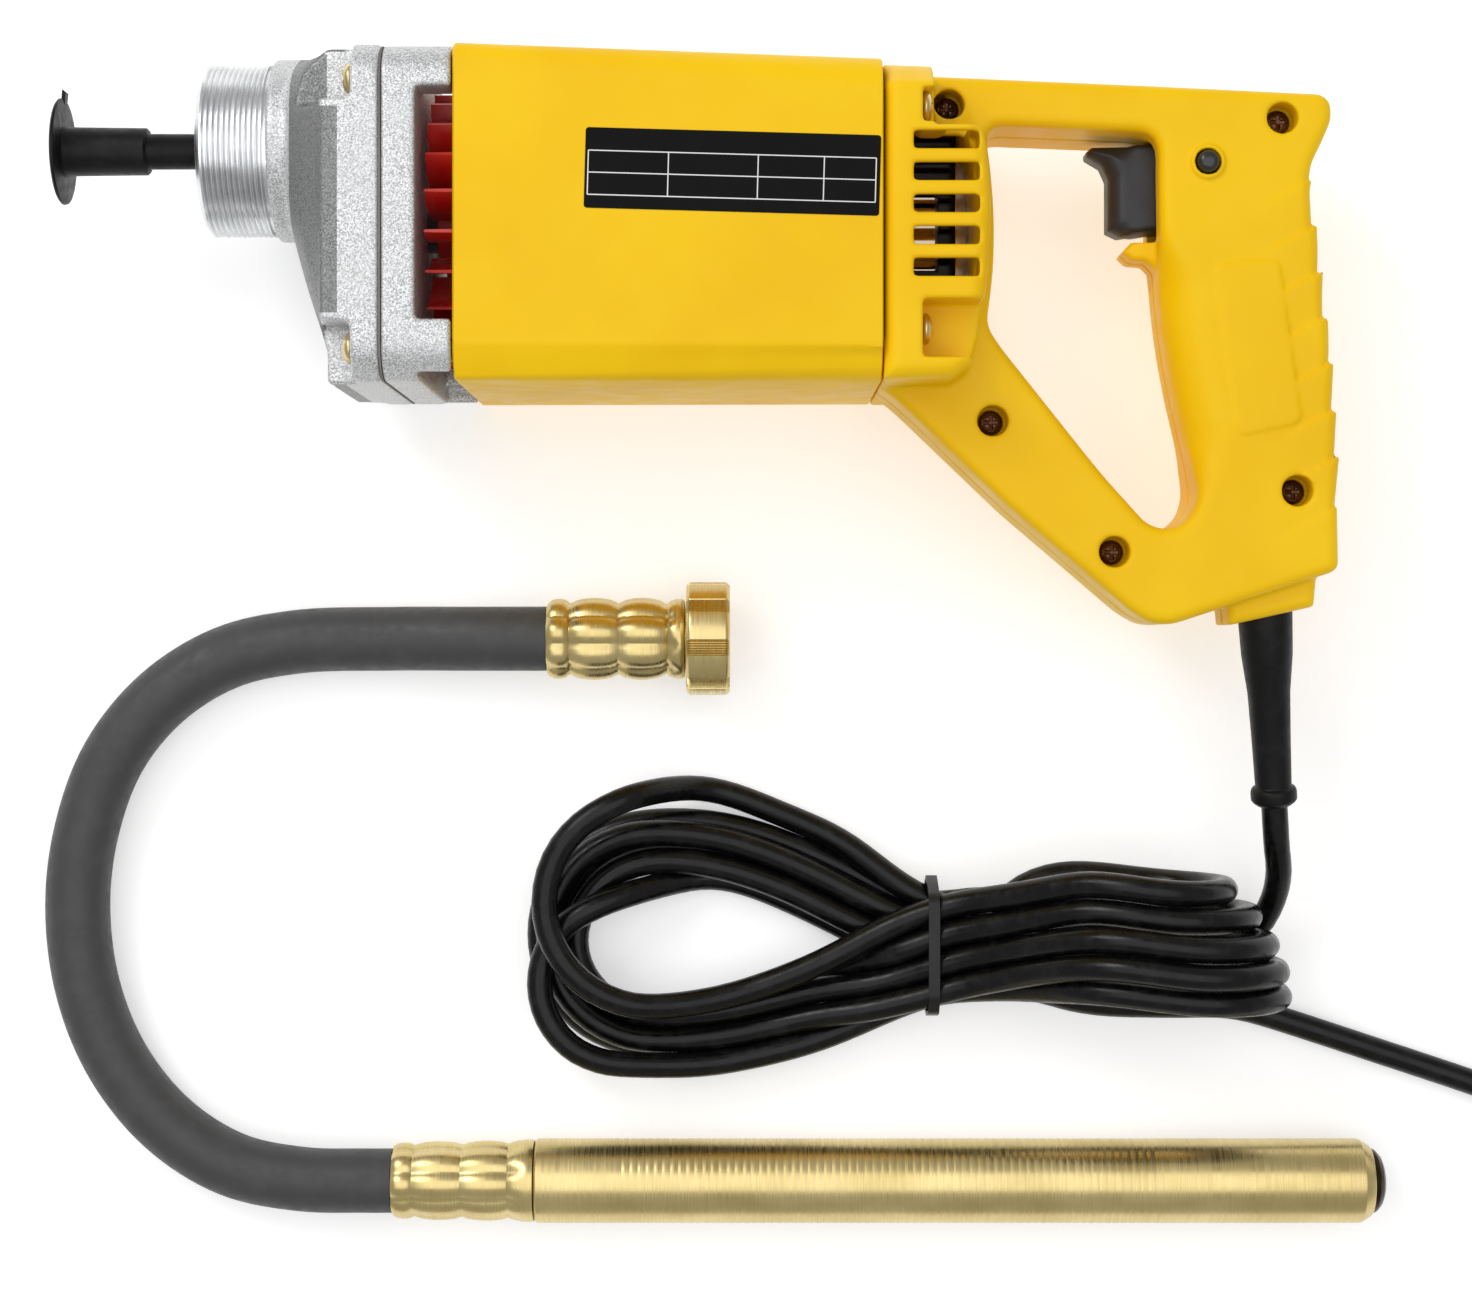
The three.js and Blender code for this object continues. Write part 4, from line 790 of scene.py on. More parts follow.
def barrel_ring(x, inset):
    """One section: round top corners that grow towards the rear, and creased bevels below."""
    t = (x - BARREL_FRONT) / (SEAM_X - BARREL_FRONT)
    top = BARREL_NEAR_Y + (BARREL_FAR_Y - BARREL_NEAR_Y) * (1 + (BARREL_DROP - 1) * t) - inset
    low = BARREL_NEAR_Y + inset
    upper = 5.5 + 5.5 * t - 0.6 * inset
    near_z, far_z = BARREL_SIDE - inset, inset
    corners = [(top, near_z, upper, 0), (top, far_z, upper, 270), (low, far_z, 0, 180), (low, near_z, 0, 90)]
    crease = 0.6 + 2.6 * t
    bevel = [
        (10.8, 0), (9.9, 0.12), (9.0, 0.42), (crease + 5.2, 1.7), (crease + 2.6, 3.0), (crease + 0.7, 4.0),
        (crease, 4.5), (0.45 * crease, 5.4 + 0.8 * t), (0, 6.8 + 3 * t),
    ]
    ring = []
    for y, z, r, start in corners:
        if y == low:
            inwards, steps = (1, bevel) if z < MID_Z else (-1, bevel[::-1])
            ring += [(x, y + dy, z + inwards * dz) for dy, dz in steps]
            continue
        cy, cz = y - math.copysign(r, y - MOTOR_Y), z - math.copysign(r, z - MID_Z)
        for i in range(9):
            a = math.radians(start + 90 - 90 * i / 8)
            ring.append((x, cy + r * math.cos(a), cz + r * math.sin(a)))
    return ring


def make_barrel():
    """Square moulded barrel, a little rough where its front edge was trimmed."""
    rng = np.random.default_rng(5)
    stations = [BARREL_FRONT + 0.6, *np.linspace(BARREL_FRONT + 1.4, BARREL_REAR - 1, 24), BARREL_REAR - 0.4]
    rings = [barrel_ring(BARREL_FRONT, 0.8), *(barrel_ring(x, 0.0) for x in stations)]
    rings += [barrel_ring(BARREL_REAR, 0.4), barrel_ring(BARREL_REAR, BARREL_WALL)]
    rings += [barrel_ring(x, BARREL_WALL) for x in np.linspace(BARREL_REAR - 1, BARREL_FRONT + 1, 6)]
    rings += [barrel_ring(BARREL_FRONT, BARREL_WALL - 0.4)]
    count = len(rings[0])
    points = [list(p) for ring in rings for p in ring]
    for k in range(count):
        shift = abs(rng.normal(0, 0.28))
        for row in (0, 1, 2):
            points[row * count + k][0] += shift * (1.0, 0.7, 0.2)[row]
    points, faces = outward(points, ring_faces(list(range(0, len(points), count)), count))
    piece("barrel_moulding", points, faces, ["yellow"], "motor_unit",
          ["barrel_housing"], 40)


def plate_point(u, v, z):
    """From the plate's own axes to the frame."""
    c, s = math.cos(PLATE["turn"]), math.sin(PLATE["turn"])
    return (PLATE["x"] + u * c - v * s, PLATE["y"] + u * s + v * c, z)


def plate_block(u0, u1, v0, v1, z0, z1, corner):
    """A thin slab in the plate's own axes, with round corners."""
    ring = []
    for cu, cv, start in ((u1, v1, 0), (u0, v1, 90), (u0, v0, 180), (u1, v0, 270)):
        for i in range(5):
            a = math.radians(start + 90 * i / 4)
            pu = cu - math.copysign(corner, cu - (u0 + u1) / 2) + corner * math.cos(a)
            pv = cv - math.copysign(corner, cv - (v0 + v1) / 2) + corner * math.sin(a)
            ring.append((pu, pv))
    count = len(ring)
    points = [plate_point(u, v, z) for z in (z0, z1) for u, v in ring]
    faces = [tuple(range(count))[::-1], tuple(range(count, 2 * count))]
    faces += [(k, (k + 1) % count, count + (k + 1) % count, count + k) for k in range(count)]
    return points, faces


def make_name_plate():
    """Black film with a blank header and a printed grid of two rows by four columns."""
    top = BARREL_SIDE
    hu, hv = PLATE["half"]
    points, faces = plate_block(-hu, hu, -hv, hv, top - 0.2, top + 0.16, 0.9)
    piece("name_plate_film", points, faces, ["label"], "motor_unit", ["name_plate"])
    columns, rows, line = (-40.9, -18.2, 7.2, 25.9, 40.6), (4.9, -1.3, -7.6), 0.16
    bars = [(u - line, u + line, rows[-1], rows[0]) for u in columns]
    bars += [(columns[0], columns[-1], v - line, v + line) for v in rows]
    points, faces = [], []
    for i, (u0, u1, v0, v1) in enumerate(bars):
        level = 0.004 * i
        more, sides = plate_block(u0, u1, v0, v1, top + 0.1, top + 0.19 + level, 0.05)
        faces += [tuple(k + len(points) for k in side) for side in sides]
        points += more
    piece("name_plate_grid", points, faces, ["print"], "motor_unit")


# ------------------------------------------------------------------ gear case

NOSE_FRONT, THREAD_END, COLLAR_END, COLLAR_R = -158.0, -137.0, -130.5, 27
CASE_STEP, CASE_JOINT, WINDOW_START = -112.5, -101.0, -91.0
BODY_HALF, BODY_CORNER = 48.0, 11.0
CASE_SCREW_OFFSET = 38.5
CASE_SCREW_Y = (MOTOR_Y + CASE_SCREW_OFFSET, MOTOR_Y - CASE_SCREW_OFFSET)
CASE_SCREW_Z = (MID_Z + CASE_SCREW_OFFSET, MID_Z - CASE_SCREW_OFFSET)
CASE_SCREW_SEAT = -109.4
DOME_INSET = 2.6  # so that the fillet into the flange doesn't swell the flange
THREAD_PITCH = 1.6
CASE_CELL = 0.75
FAN_ROOM_R = 43.5
# Stepped bores along X for the gears, shafts and bearings: front, rear, radius, axis.
FRONT_ROOMS = (
    (-140, -123.7, 17.8, NOSE_Y), (-124, -120, 12, NOSE_Y), (-121, -99, 19, NOSE_Y), (-121, -99, 12, MOTOR_Y),
)
REAR_ROOMS = (
    (-103, -99.2, 9.8, NOSE_Y), (-100, -95.5, 6.5, NOSE_Y), (-99, -88, 13.3, MOTOR_Y),
    (-103, -88, 11, MOTOR_Y),
)


def oblong_distance(y, z, middle_y, half_y, half_z, corner):
    """Distance across X to a rounded oblong whose middle is at the parting plane's height."""
    qy, qz = np.abs(y - middle_y) - half_y + corner, np.abs(z - MID_Z) - half_z + corner
    return np.hypot(np.maximum(qy, 0), np.maximum(qz, 0)) + np.minimum(np.maximum(qy, qz), 0) - corner


def square_distance(y, z, half, corner):
    """Distance to a rounded square about the motor's axis."""
    return oblong_distance(y, z, MOTOR_Y, half, half, corner)


def round_rooms(x, y, z, rooms):
    """The space that the bores take out of a casting."""
    return np.minimum.reduce([
        np.maximum(np.hypot(y - axis_y, z - MID_Z) - radius, np.maximum(front - x, x - rear))
        for front, rear, radius, axis_y in rooms
    ])


def case_dome(x, y, z):
    """The dome from the flange to the collar. It falls on the side away from the nose."""
    t = np.clip((CASE_STEP - x) / (CASE_STEP - COLLAR_END), 0, 1)
    shrink = 1 - t ** 1.35
    half = BODY_HALF - DOME_INSET
    far_y, near_y = 174.0, MOTOR_Y - half + (1 - shrink) * 42.0
    middle_y, half_y = (far_y + near_y) / 2, (far_y - near_y) / 2
    half_z = half * (0.6 + 0.4 * shrink)
    corner = 11 + 7 * (1 - shrink)
    dome = oblong_distance(y, z, middle_y, half_y, half_z, corner)
    return round_max(dome * 0.8, np.maximum(COLLAR_END - 0.5 - x, x - CASE_JOINT + 1), 1.5)


def front_case_field(x, y, z):
    """Square flange, dome and collar, with a pocket at each long screw and rooms for the gears."""
    square = square_distance(y, z, BODY_HALF, BODY_CORNER)
    flange = round_max(square, np.maximum(CASE_STEP - 5.5 - x, x - CASE_JOINT + 0.3), 1.0)
    field = smooth_min(flange, case_dome(x, y, z), 3.5)
    for sy, sz in product(CASE_SCREW_Y, CASE_SCREW_Z):
        out_y, out_z = math.copysign(1, sy - MOTOR_Y), math.copysign(1, sz - MID_Z)
        pocket = box_distance(
            x, (y - sy) * out_y, (z - sz) * out_z, (-150, -7, -7), (CASE_SCREW_SEAT, 30, 30), 2.2
        )
        field = round_max(field, -pocket, 0.7)
    collar = round_max(np.hypot(y - NOSE_Y, z - MID_Z) - COLLAR_R, np.maximum(THREAD_END - x, x + 120), 1.2)
    field = smooth_min(field, collar, 1.6)
    hollow = np.maximum(square_distance(y, z, 29.0, 8), np.maximum(CASE_STEP - 4 - x, x - CASE_JOINT - 5))
    return np.maximum(field, -np.minimum(hollow, round_rooms(x, y, z, FRONT_ROOMS)))


def make_front_case():
    """Front casting, its hollow between collar and flange painted darker than the rest, as painted shade."""
    block = Block((-138, 78, 0), (-101, 175, 96), CASE_CELL)
    points, faces = block.mesh(front_case_field(block.x, block.y, block.z))
    middles = points[np.array(faces)].mean(1)
    x, y, z = middles.T
    by_screw = np.minimum(np.abs(y - CASE_SCREW_Y[0]), np.abs(y - CASE_SCREW_Y[1])) < 9.5
    on_boss = by_screw & (x > CASE_STEP - 6) & (z > 70)
    # these faces, the hollow without the screw bosses, take the painted shade
    hollow = (x < CASE_STEP - 0.6) & (x > COLLAR_END + 0.8) & ~on_boss
    piece("gear_case_front_casting", points, faces, ["cast", "cast_painted_shade"], "motor_unit",
          ["gear_case_front"], 180, hollow.astype(np.int32))


def make_nose():
    """Machined nose with its thread: one V of crest and root to each pitch."""
    crest, root = 25.5, 24.4
    profile = [(NOSE_FRONT, 15.2), (NOSE_FRONT, 23.4), (NOSE_FRONT + 1.5, crest)]
    x = NOSE_FRONT + 2.2
    while x < THREAD_END - 2.2:
        profile += [(x, crest), (x + 0.35 * THREAD_PITCH, root), (x + 0.6 * THREAD_PITCH, root)]
        profile += [(x + 0.92 * THREAD_PITCH, crest)]
        x += THREAD_PITCH
    profile += [(x, 24.2), (THREAD_END + 0.6, 24.2), (THREAD_END + 0.6, 15.2)]
    points, faces = lathe(profile, (0, NOSE_Y, MID_Z), sides=160, closed=True)
    piece("nose_machined", points, faces, ["machined"], "motor_unit", sharp_degrees=25)


def rear_case_field(x, y, z):
    """Square casting with a round room for the fan and a long window in each side of it."""
    field = round_max(square_distance(y, z, BODY_HALF, BODY_CORNER), np.maximum(-100.7 - x, x + 80.9), 0.7)
    fan_room = np.maximum(np.hypot(y - MOTOR_Y, z - MID_Z) - FAN_ROOM_R, WINDOW_START - x)
    side_window = box_distance(x, y, 0 * z, (WINDOW_START, 95.5, -9), (-70, 161.5, 9), 1.5)
    end_window = box_distance(x, 0 * y, z, (WINDOW_START, -9, 14), (-70, 9, 82), 1.5)
    low_gap = box_distance(x, y, z, (WINDOW_START, 60, 8), (-70, 84.5, 91), 1.5)
    windows = np.minimum(np.minimum(side_window, end_window), low_gap)
    field = np.maximum(field, -fan_room)
    field = round_max(field, -windows, 0.9)
    return np.maximum(field, -round_rooms(x, y, z, REAR_ROOMS))


def make_rear_case():
    """Rear casting, round the fan."""
    block = Block((-101, 78, 0), (-80, 175, 96), CASE_CELL)
    points, faces = block.mesh(rear_case_field(block.x, block.y, block.z))
    piece("gear_case_rear_casting", points, faces, ["cast"], "motor_unit",
          ["gear_case_rear"], 180)


def make_fan():
    """Red disc with swept vanes, thicker at the root."""
    section = [(-88.5, 5.2), (-88.5, 11), (-79.7, 11), (-79.7, 40.9), (-77.5, 40.9), (-77.5, 5.2)]
    points, faces = lathe(rounded(section, 0.5), (0, MOTOR_Y, MID_Z), sides=110, closed=True)
    points = points.tolist()
    blades, steps, root_r, reach = 22, 8, 21.8, 19.0
    for b in range(blades):
        start = len(points)
        for i in range(steps + 1):
            r = root_r + reach * i / steps
            a = 2 * math.pi * b / blades + math.radians(4.8) - 0.10 * (i / steps) ** 2
            half = (0.95 - 0.35 * i / steps) / 2 / r
            for x, spread in ((-79.6, 1.35), (-88.6, 1.0), (-89.2, 0.5)):
                for side in (1, -1):
                    t = a + side * half * spread * 1.3
                    points.append([x, MOTOR_Y + r * math.cos(t), MID_Z + r * math.sin(t)])
        ring = (0, 2, 4, 5, 3, 1)
        for i in range(steps):
            low, high = start + 6 * i, start + 6 * (i + 1)
            for k in range(6):
                n = (k + 1) % 6
                faces.append((low + ring[k], low + ring[n], high + ring[n], high + ring[k]))
        faces.append(tuple(start + k for k in reversed(ring)))
        faces.append(tuple(start + 6 * steps + k for k in ring))
    made = piece("fan_moulding", points, faces, ["red"], "armature", ["cooling_fan"], 30)
    face_outwards(made)


def face_outwards(made):
    """Turns every closed shell of a mesh to face outwards."""
    shell = bmesh.new()
    shell.from_mesh(made.data)
    bmesh.ops.recalc_face_normals(shell, faces=shell.faces)
    shell.to_mesh(made.data)
    shell.free()


# ------------------------------------------------------------------ screws


def make_screw(kind, number, origin, direction, radius, height, shank_radius, shank_length, look):
    """Pan head with a cross recess, and its plain shank. Origin is the seat, direction points outwards."""
    block = Block((-height * 0.6, -radius, -radius), (height, radius, radius), 0.22)
    h, u, v = block.x, block.y, block.z
    from_axis = np.hypot(u, v)
    crown = 0.45 * height * (from_axis / radius) ** 2
    head = round_max(from_axis - radius, np.maximum(h - height + crown, -h), 0.35 * height)
    arms = [
        np.maximum(np.abs(a) - 0.17 * radius, np.abs(b) - 0.62 * radius) for a, b in ((u, v), (v, u))
    ]
    recess = np.maximum(np.minimum(*arms), height * 0.28 + 0.35 * from_axis - h)
    points, faces = block.mesh(np.maximum(head, -recess))
    axes = np.array([Vector(direction).normalized(), *axes_along(direction)])
    points = points @ axes + np.array(origin)
    shank = [(0.2, 0), (0.2, shank_radius), (-shank_length, shank_radius), (-shank_length, 0)]
    shank_points, shank_faces = lathe(shank, origin, direction, 24)
    faces = faces + [tuple(k + len(points) for k in face) for face in shank_faces]
    points = np.concatenate([points, shank_points])
    made = piece(f"{kind}_screw_head_{number}", points, faces, [look], "motor_unit",
                 [f"{kind}_screw_{number}"])
    face_outwards(made)


def make_screws():
    """Five screws across the shells, four that hold the gear case and four that hold the housing."""
    seat_z = MID_Z + BORE_FLOOR + GAP
    for i, (x, y) in enumerate(SHELL_SCREWS, 1):
        make_screw("shell", i, (x, y, seat_z), (0, 0, 1), 3.7, 2.5, 1.8, 23, "bronze")
    for i, (y, z) in enumerate(product(CASE_SCREW_Y, CASE_SCREW_Z), 1):
        make_screw("case", i, (CASE_SCREW_SEAT, y, z), (-1, 0, 0), 4.6, 3.4, 2.2, 24, "zinc")
    housing_z = (MID_Z + HOUSING_SCREW_W, MID_Z - HOUSING_SCREW_W)
    for i, (y, z) in enumerate(product(HOUSING_SCREW_Y, housing_z), 1):
        make_screw("housing", i, (HOUSING_SCREW_SEAT, y, z), (1, 0, 0), 4.6, 3.2, 2.2, 20, "zinc")


# ------------------------------------------------------------------ trigger, button, plug and boot

TRIGGER_OUTLINE = [
    (104.4, 150), (106.2, 151.6), (134, 151.9), (134, 127), (123.2, 126.4), (114.4, 124.9),
    (110.8, 126.6), (110.8, 142), (109, 146), (104.6, 148.6),
]


def make_trigger():
    """Trigger with its finger side well rounded."""
    block = Block((103, 123, 38), (135, 153, 58), 0.4)
    w = np.abs(block.z - MID_Z)
    field = outline_distance(TRIGGER_OUTLINE, block.x, block.y)
    soft = round_max(field, w - 9, 6.0)
    firm = round_max(field, w - 9, 1.6)
    blend = ramp(block.x, 113, 120)
    points, faces = block.mesh(soft * (1 - blend) + firm * blend)
    piece("trigger_moulding", points, faces, ["charcoal"], "trigger", ["trigger"], 180)


def make_trigger_spring():
    """Return spring between the trigger's back and the switch."""
    turns, radius, wire, front, rear, y = 5, 3.0, 0.4, 134.8, 143.6, 139.0
    steps, sides = turns * 20, 8
    points = []
    for i in range(steps + 1):
        t = 2 * math.pi * turns * i / steps
        x = front + (rear - front) * i / steps
        for k in range(sides):
            b = 2 * math.pi * k / sides
            r = radius + wire * math.cos(b)
            points.append((x + wire * math.sin(b), y + r * math.cos(t), MID_Z + r * math.sin(t)))
    faces = ring_faces(list(range(0, len(points), sides)), sides, closed=False)
    faces.append(tuple(range(sides)))
    faces.append(tuple(steps * sides + k for k in reversed(range(sides))))
    spring = piece("trigger_spring_coil", points, faces, ["steel"], "motor_unit",
                   ["trigger_spring"], 60)
    face_outwards(spring)
    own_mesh(spring)


def make_lock_button():
    """Domed button in its hole."""
    profile = [(60, 0), (60, 3.4), (68.6, 3.4), (70.1, 3.05), (70.9, 2.2), (71.2, 1.0), (71.25, 0)]
    points, faces = lathe(rounded(profile, 0.5), (*LOCK_BUTTON, 0), (0, 0, 1), 64)
    piece("lock_button_dome", points, faces, ["dome"], "lock_button", ["lock_button"])


def make_dust_plug():
    """Soft plug: a disc to pull it by, a thick stem and a thin one, and a torn moulding tab."""
    profile = [
        (-202.5, 0), (-202.5, 15.2), (-202.0, 15.8), (-201.3, 15.6), (-200.9, 13), (-200.7, 7.9),
        (-199.8, 7.3), (-190, 7.15), (-176.6, 7), (-176, 6.4), (-176, 5.6), (-175.4, 5.3), (-150, 5.2),
        (-134, 5.1), (-134, 0),
    ]
    points, faces = lathe(profile, (0, NOSE_Y, MID_Z), sides=72)
    tab = [(-202.3, 163.5, 46), (-201.2, 163.5, 46), (-200.6, 168.6, 46.6), (-201.6, 169.4, 47)]
    tab += [(x, y, z + 3.4) for x, y, z in tab]
    start = len(points)
    points = np.concatenate([points, tab])
    sides = [(0, 1, 2, 3), (7, 6, 5, 4), (0, 4, 5, 1), (1, 5, 6, 2), (2, 6, 7, 3), (3, 7, 4, 0)]
    faces = faces + [tuple(start + k for k in side) for side in sides]
    made = piece("dust_plug_moulding", points, faces, ["rubber"], "dust_plug", ["dust_plug"])
    face_outwards(made)


def make_boot():
    """Tapered strain relief, held in the handle and ending in a raised ring."""
    profile = [(0, 3.9), (0, 8.2), (14, 7.7), (26, 6.4), (40, 5.9), (55.4, 5.5), (56, 6.6)]
    profile += [(57, 7.0), (59.6, 7.0), (60.4, 6.4), (BOOT_LENGTH, 5.0), (BOOT_LENGTH, 3.9)]
    points, faces = lathe(rounded(profile, 0.6), tuple(BOOT_START), tuple(BOOT_DIRECTION), 64, closed=True)
    piece("cord_boot_moulding", points, faces, ["rubber"], "motor_unit", ["cord_boot"])


# ------------------------------------------------------------------ coupling, hose ends and poker

FACETS = 8
FACET_PHASE = math.radians(-36)  # a crease's angle from straight up


def facet_lathe(profile, origin, depth, phase, sides=FACETS * 12):
    """A turned shape pressed into eight swellings round it, with a crease between each two. The depth
    of the creases, as a share of the radius, is a function of the distance along it."""
    ox, oy, oz = origin
    points = []
    for x, radius in profile:
        for k in range(sides):
            a = 2 * math.pi * k / sides
            into = (FACETS * (a - phase) / (2 * math.pi)) % 1
            dip = 1 - depth(x) * (2 * into - 1) ** 2
            points.append((ox + x, oy - radius * dip * math.sin(a), oz + radius * dip * math.cos(a)))
    return outward(points, ring_faces(list(range(0, len(points), sides)), sides))


def bulging(stations, samples=7):
    """A profile of convex bulges between waists given as [x, waist radius, bulge radius to the next]."""
    profile = []
    for (x0, r0, bulge), (x1, r1, _) in zip(stations, stations[1:]):
        for i in range(samples):
            t = i / samples
            swell = (bulge - (r0 + r1) / 2) * math.sin(math.pi * t) ** 0.6
            profile.append((x0 + (x1 - x0) * t, r0 + (r1 - r0) * t + swell))
    return [*profile, stations[-1][:2]]


def make_ferrule(name, stations, inner, origin, dip, plain_from, plain_to, phase):
    """A ferrule pressed on the hose. Its creases fade out between two stations."""
    points, faces = facet_lathe(
        bulging(stations) + inner, origin, lambda x: dip * (1 - ramp(x, plain_from, plain_to)), phase=phase
    )
    piece(f"{name}_pressed", points, faces, ["brass"], "flex_shaft", [name], 28)


def make_coupling_ferrule():
    """Ferrule at the coupling end. Its flange holds the nut."""
    stations = [
        (-58.5, 11.2, 12.7), (-51.5, 11.2, 13.0), (-36.5, 11.2, 13.0), (-21.5, 11.0, 12.5),
        (-15.9, 11.8, 0),
    ]
    inner = [
        (-15.7, 9), (-11.7, 9), (-11.7, 13.6), (-9.8, 13.6), (-9.8, 4.6), (-26, 4.6), (-26, 9.6),
        (-58.5, 9.6),
    ]
    origin = (0, COUPLING_Y, COUPLING_Z)
    make_ferrule("coupling_ferrule", stations, inner, origin, 0.11, -20, -17, FACET_PHASE)


def make_poker_ferrule():
    """Ferrule at the poker's end of the hose."""
    stations = [
        (-106.9, 10.8, 11.8), (-100.5, 11.0, 12.2), (-85.5, 11.2, 12.4), (-71.0, 11.5, 12.6),
        (-63.0, 12.5, 0),
    ]
    inner = [(-63.0, 9.7), (-106.9, 9.7)]
    origin = (0, POKER_Y, POKER_R)
    make_ferrule("poker_ferrule", stations, inner, origin, 0.09, -70, -65, math.radians(-24))


def make_coupling_nut():
    """Nut with eight narrow knurled strips between smooth faces."""
    section = [
        (-15.4, 9.35), (-15.4, 16.4), (-14.3, 17.5), (-3.0, 17.5), (-1.9, 16.4), (-1.9, 14.3),
        (-12, 14.3), (-12, 9.35), (-15.4, 9.35),
    ]
    profile = rounded(section, 0.4, 2)
    sides, eighth = 720, 2 * math.pi / FACETS
    strip_half, strip_edge, knurls = math.radians(8.5), math.radians(0.8), 144
    points, stations = [], []
    for (x0, r0), (x1, r1) in zip(profile, profile[1:]):
        count = max(1, int(abs(x1 - x0) / 1.2)) if r0 > 17 and r1 > 17 else 1
        stations += [(x0 + (x1 - x0) * i / count, r0 + (r1 - r0) * i / count) for i in range(count)]
    for x, radius in stations:
        for k in range(sides):
            a = 2 * math.pi * k / sides
            from_strip = abs((a - FACET_PHASE + eighth / 2) % eighth - eighth / 2)
            cut = 0.0
            if radius > 15.5 and from_strip < strip_half:
                cut = 0.5 + 0.35 * math.cos(a * knurls)
            r = radius - cut * min(1.0, (strip_half - from_strip) / strip_edge)
            points.append((x, COUPLING_Y - r * math.sin(a), COUPLING_Z + r * math.cos(a)))
    points, faces = outward(points, ring_faces(list(range(0, len(points), sides)), sides))
    piece("coupling_nut_knurled", points, faces, ["brass"], "coupling_nut",
          ["coupling_nut"], 40)


def make_poker():
    """Tube with turned grooves over the half by the hose, a smooth end, and a domed dark tip."""
    groove_start, groove_end, pitch, groove_r = -36.0, 131, 2.5, POKER_R - 0.1
    profile = [(-62.7, 12.2), (-62.0, 12.95), (-61, POKER_R), (-37, POKER_R)]
    x = groove_start
    while x < groove_end:
        profile += [(x, POKER_R), (x + 0.45, groove_r), (x + 0.75, groove_r), (x + 1.2, POKER_R)]
        x += pitch
    profile += [(193.6, POKER_R), (194.5, 12.85), (197.5, 11.1), (197.8, 10.8), (197.8, 9.6), (-62.7, 9.6)]
    points, faces = lathe(profile, (0, POKER_Y, POKER_R), sides=128, closed=True)
    piece("poker_tube_turned", points, faces, ["brass"], "flex_shaft", ["poker_tube"], 20)
    tip = [
        (176, 0), (176, 9.3), (197.5, 9.3), (197.5, 10.4), (199.4, 9.7), (201.0, 7.9), (202.0, 5.4),
        (202.5, 0),
    ]
    points, faces = lathe(rounded(tip, 0.5), (0, POKER_Y, POKER_R), sides=96)
    piece("poker_tip_dome", points, faces, ["tip"], "flex_shaft", ["poker_tip"])


# ------------------------------------------------------------------ tie and plug

TIE_HALF, TIE_WALL = 1.7, 1.3


def make_hank_tie(route):
    """Thin band round the strands at the waist, drawn tight over their outline."""
    crossing = [(y, z) for x, y, z in route if abs(x - WAIST_X) < 6 and -112 < y < -70]
    reach = (CORD_D + GAP) / 2
    low_y, high_y = min(y for y, _ in crossing), max(y for y, _ in crossing)
    middle, bottom = (low_y + high_y) / 2, min(z for _, z in crossing) - reach
    ring = []
    steps = 72
    for k in range(steps):
        a = 2 * math.pi * k / steps
        dy, dz = math.cos(a), math.sin(a)
        support = max(y * dy + z * dz for y, z in crossing) + reach
        ring.append((dy, dz, support))
    outline = []
    for k in range(steps):
        (a0, b0, s0), (a1, b1, s1) = ring[k], ring[(k + 1) % steps]
        cross = a0 * b1 - a1 * b0
        outline.append(((s0 * b1 - s1 * b0) / cross, (a0 * s1 - a1 * s0) / cross))
    points = []
    left, right = WAIST_X - TIE_HALF, WAIST_X + TIE_HALF
    for x, grow in ((left, 0), (left, TIE_WALL), (right, TIE_WALL), (right, 0)):
        for y, z in outline:
            away = Vector((y - middle, z - bottom - 10)).normalized() * grow
            points.append((x, y + away.x, max(z + away.y, 0.15)))
    points, faces = outward(points, ring_faces(list(range(0, len(points), steps)), steps))
    return piece("hank_tie_band", points, faces, ["black"], "motor_unit", ["hank_tie"])


PLUG_BODY = (34.0, 12.5, 8.0)  # length, half width and half height
PLUG_BLADE = {"x": (33.0, 51.0), "y": (-6.35, 6.35), "half": 0.75, "z": (5.0, 11.3)}


def plug_place(points):
    """From the plug's own axes to the frame: it lies on the floor, pointing away from the hank."""
    points = np.asarray(points, float)
    dx, dy = PLUG_DIRECTION.x, PLUG_DIRECTION.y
    x = PLUG_START.x + points[:, 0] * dx - points[:, 1] * dy
    y = PLUG_START.y + points[:, 0] * dy + points[:, 1] * dx
    return np.stack([x, y, points[:, 2]], 1)


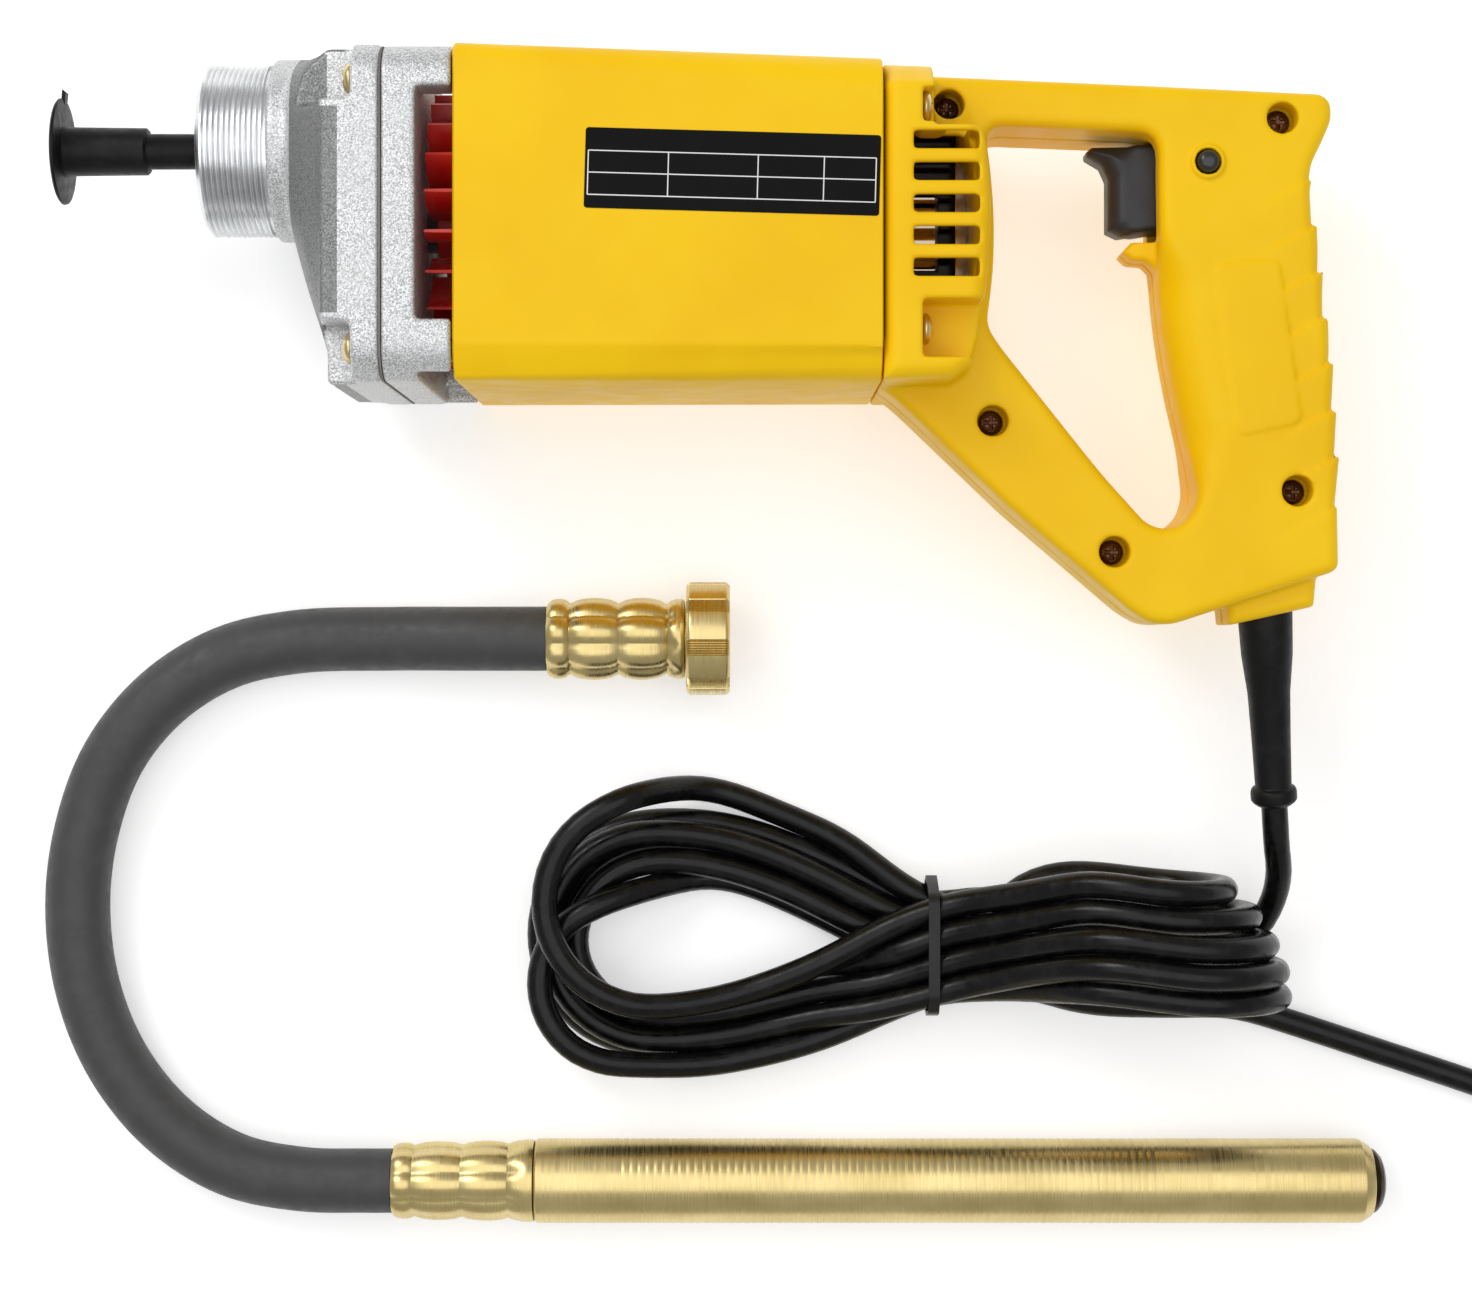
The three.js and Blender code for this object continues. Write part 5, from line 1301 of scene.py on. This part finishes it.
def make_plug():
    """Moulded plug body with grip ribs and its two flat steel blades, as one piece with two looks."""
    length, half_width, half_height = PLUG_BODY
    neck_width, neck_height, rib_pitch = 5.3, 4.9, 3.6
    block = Block((-1, -13, 0), (35, 13, 17), 0.5)
    x, y, z = block.x, block.y, block.z - PLUG_START.z
    half = neck_width + (half_width - neck_width) * ramp(x, 6, 29)
    height = neck_height + (half_height - neck_height) * ramp(x, 2, 24)
    on_neck = (1 - ramp(x, 19, 23)) * ramp(x, 2, 4)
    ribs = 0.5 * np.maximum(np.sin(x * 2 * math.pi / rib_pitch), 0) * on_neck
    field = round_max(np.abs(y) - half + ribs, np.abs(z) - height + ribs, 3.2)
    field = round_max(field, np.maximum(-x, x - length), 2.2)
    points, faces = block.mesh(field)
    looks = [0] * len(faces)
    x0, x1 = PLUG_BLADE["x"]
    z0, z1 = PLUG_BLADE["z"]
    for side in PLUG_BLADE["y"]:
        start, rows = len(points), []
        for px, grow in ((x0, 0.0), (x1 - 1.2, 0.0), (x1, -0.45)):
            h, low, high = PLUG_BLADE["half"] + grow * 0.6, z0 - grow, z1 + grow
            rows += [(px, side - h, low), (px, side + h, low), (px, side + h, high), (px, side - h, high)]
        points = np.concatenate([points, rows])
        sides = [(0, 1, 2, 3), (8, 11, 10, 9)]
        for row in (0, 4):
            sides += [(row + k, row + 4 + k, row + 4 + (k + 1) % 4, row + (k + 1) % 4) for k in range(4)]
        faces = faces + [tuple(start + k for k in side_face) for side_face in sides]
        looks += [1] * len(sides)
    made = piece("plug_moulding", plug_place(points), faces, ["black", "steel"], "motor_unit",
                 ["plug_body"], 40, looks)
    face_outwards(made)
    return made


# ------------------------------------------------------------------ cords


def make_cords():
    """The mains cord with its plug and tie, and the hose."""
    route = mains_route()
    plug, tie = make_plug(), make_hank_tie(route)
    mains = cord_curve("mains_cord", route, CORD_D, LOOKS["cord"])
    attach(mains, "motor_unit")
    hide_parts("cord_lead", "cord_hank", "cord_tail")
    hose = cord_curve("flexible_hose", smooth_route(HOSE_ROUTE), HOSE_D, LOOKS["hose"])
    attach(hose, "flex_shaft")
    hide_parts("hose")


# ------------------------------------------------------------------ floor and light


def area_light(name, place, size, power):
    """A soft light of that size in metres, facing the middle of the set."""
    data = bpy.data.lights.new(name, "AREA")
    data.shape = "RECTANGLE"
    data.size, data.size_y = size
    data.energy = power
    light = bpy.data.objects.new(name, data)
    light.location = place
    light.rotation_euler = (Vector((0, 0, 0.03)) - Vector(place)).to_track_quat("-Z", "Y").to_euler()
    bpy.context.scene.collection.objects.link(light)


def make_studio():
    """White floor, a broad light overhead, a smaller one to the upper left, and a pale sky."""
    half = 12.0
    corners = [(-half, -half, 0), (half, -half, 0), (half, half, 0), (-half, half, 0)]
    mesh = bpy.data.meshes.new("floor")
    mesh.from_pydata(corners, [], [(0, 1, 2, 3)])
    mesh.materials.append(LOOKS["floor"])
    floor = bpy.data.objects.new("floor", mesh)
    bpy.context.scene.collection.objects.link(floor)
    area_light("overhead", (0.0, 0.05, 1.6), (2.3, 1.5), 13)
    area_light("key", (-0.9, 1.0, 1.2), (0.7, 0.7), 9)
    world = bpy.data.worlds.new("studio")
    world.use_nodes = True
    background = world.node_tree.nodes["Background"]
    background.inputs["Color"].default_value = (1.0, 1.0, 1.0, 1.0)
    background.inputs["Strength"].default_value = 0.45
    bpy.context.scene.world = world
    bpy.context.scene.view_settings.view_transform = "Standard"


# ------------------------------------------------------------------ the scene

dress_cad_nodes()
make_cords()
make_handle_shells()
make_brush_carrier()
make_barrel()
make_name_plate()
make_front_case()
make_nose()
make_rear_case()
make_fan()
make_screws()
make_trigger()
make_trigger_spring()
make_lock_button()
make_dust_plug()
make_boot()
make_coupling_ferrule()
make_poker_ferrule()
make_coupling_nut()
make_poker()
make_studio()
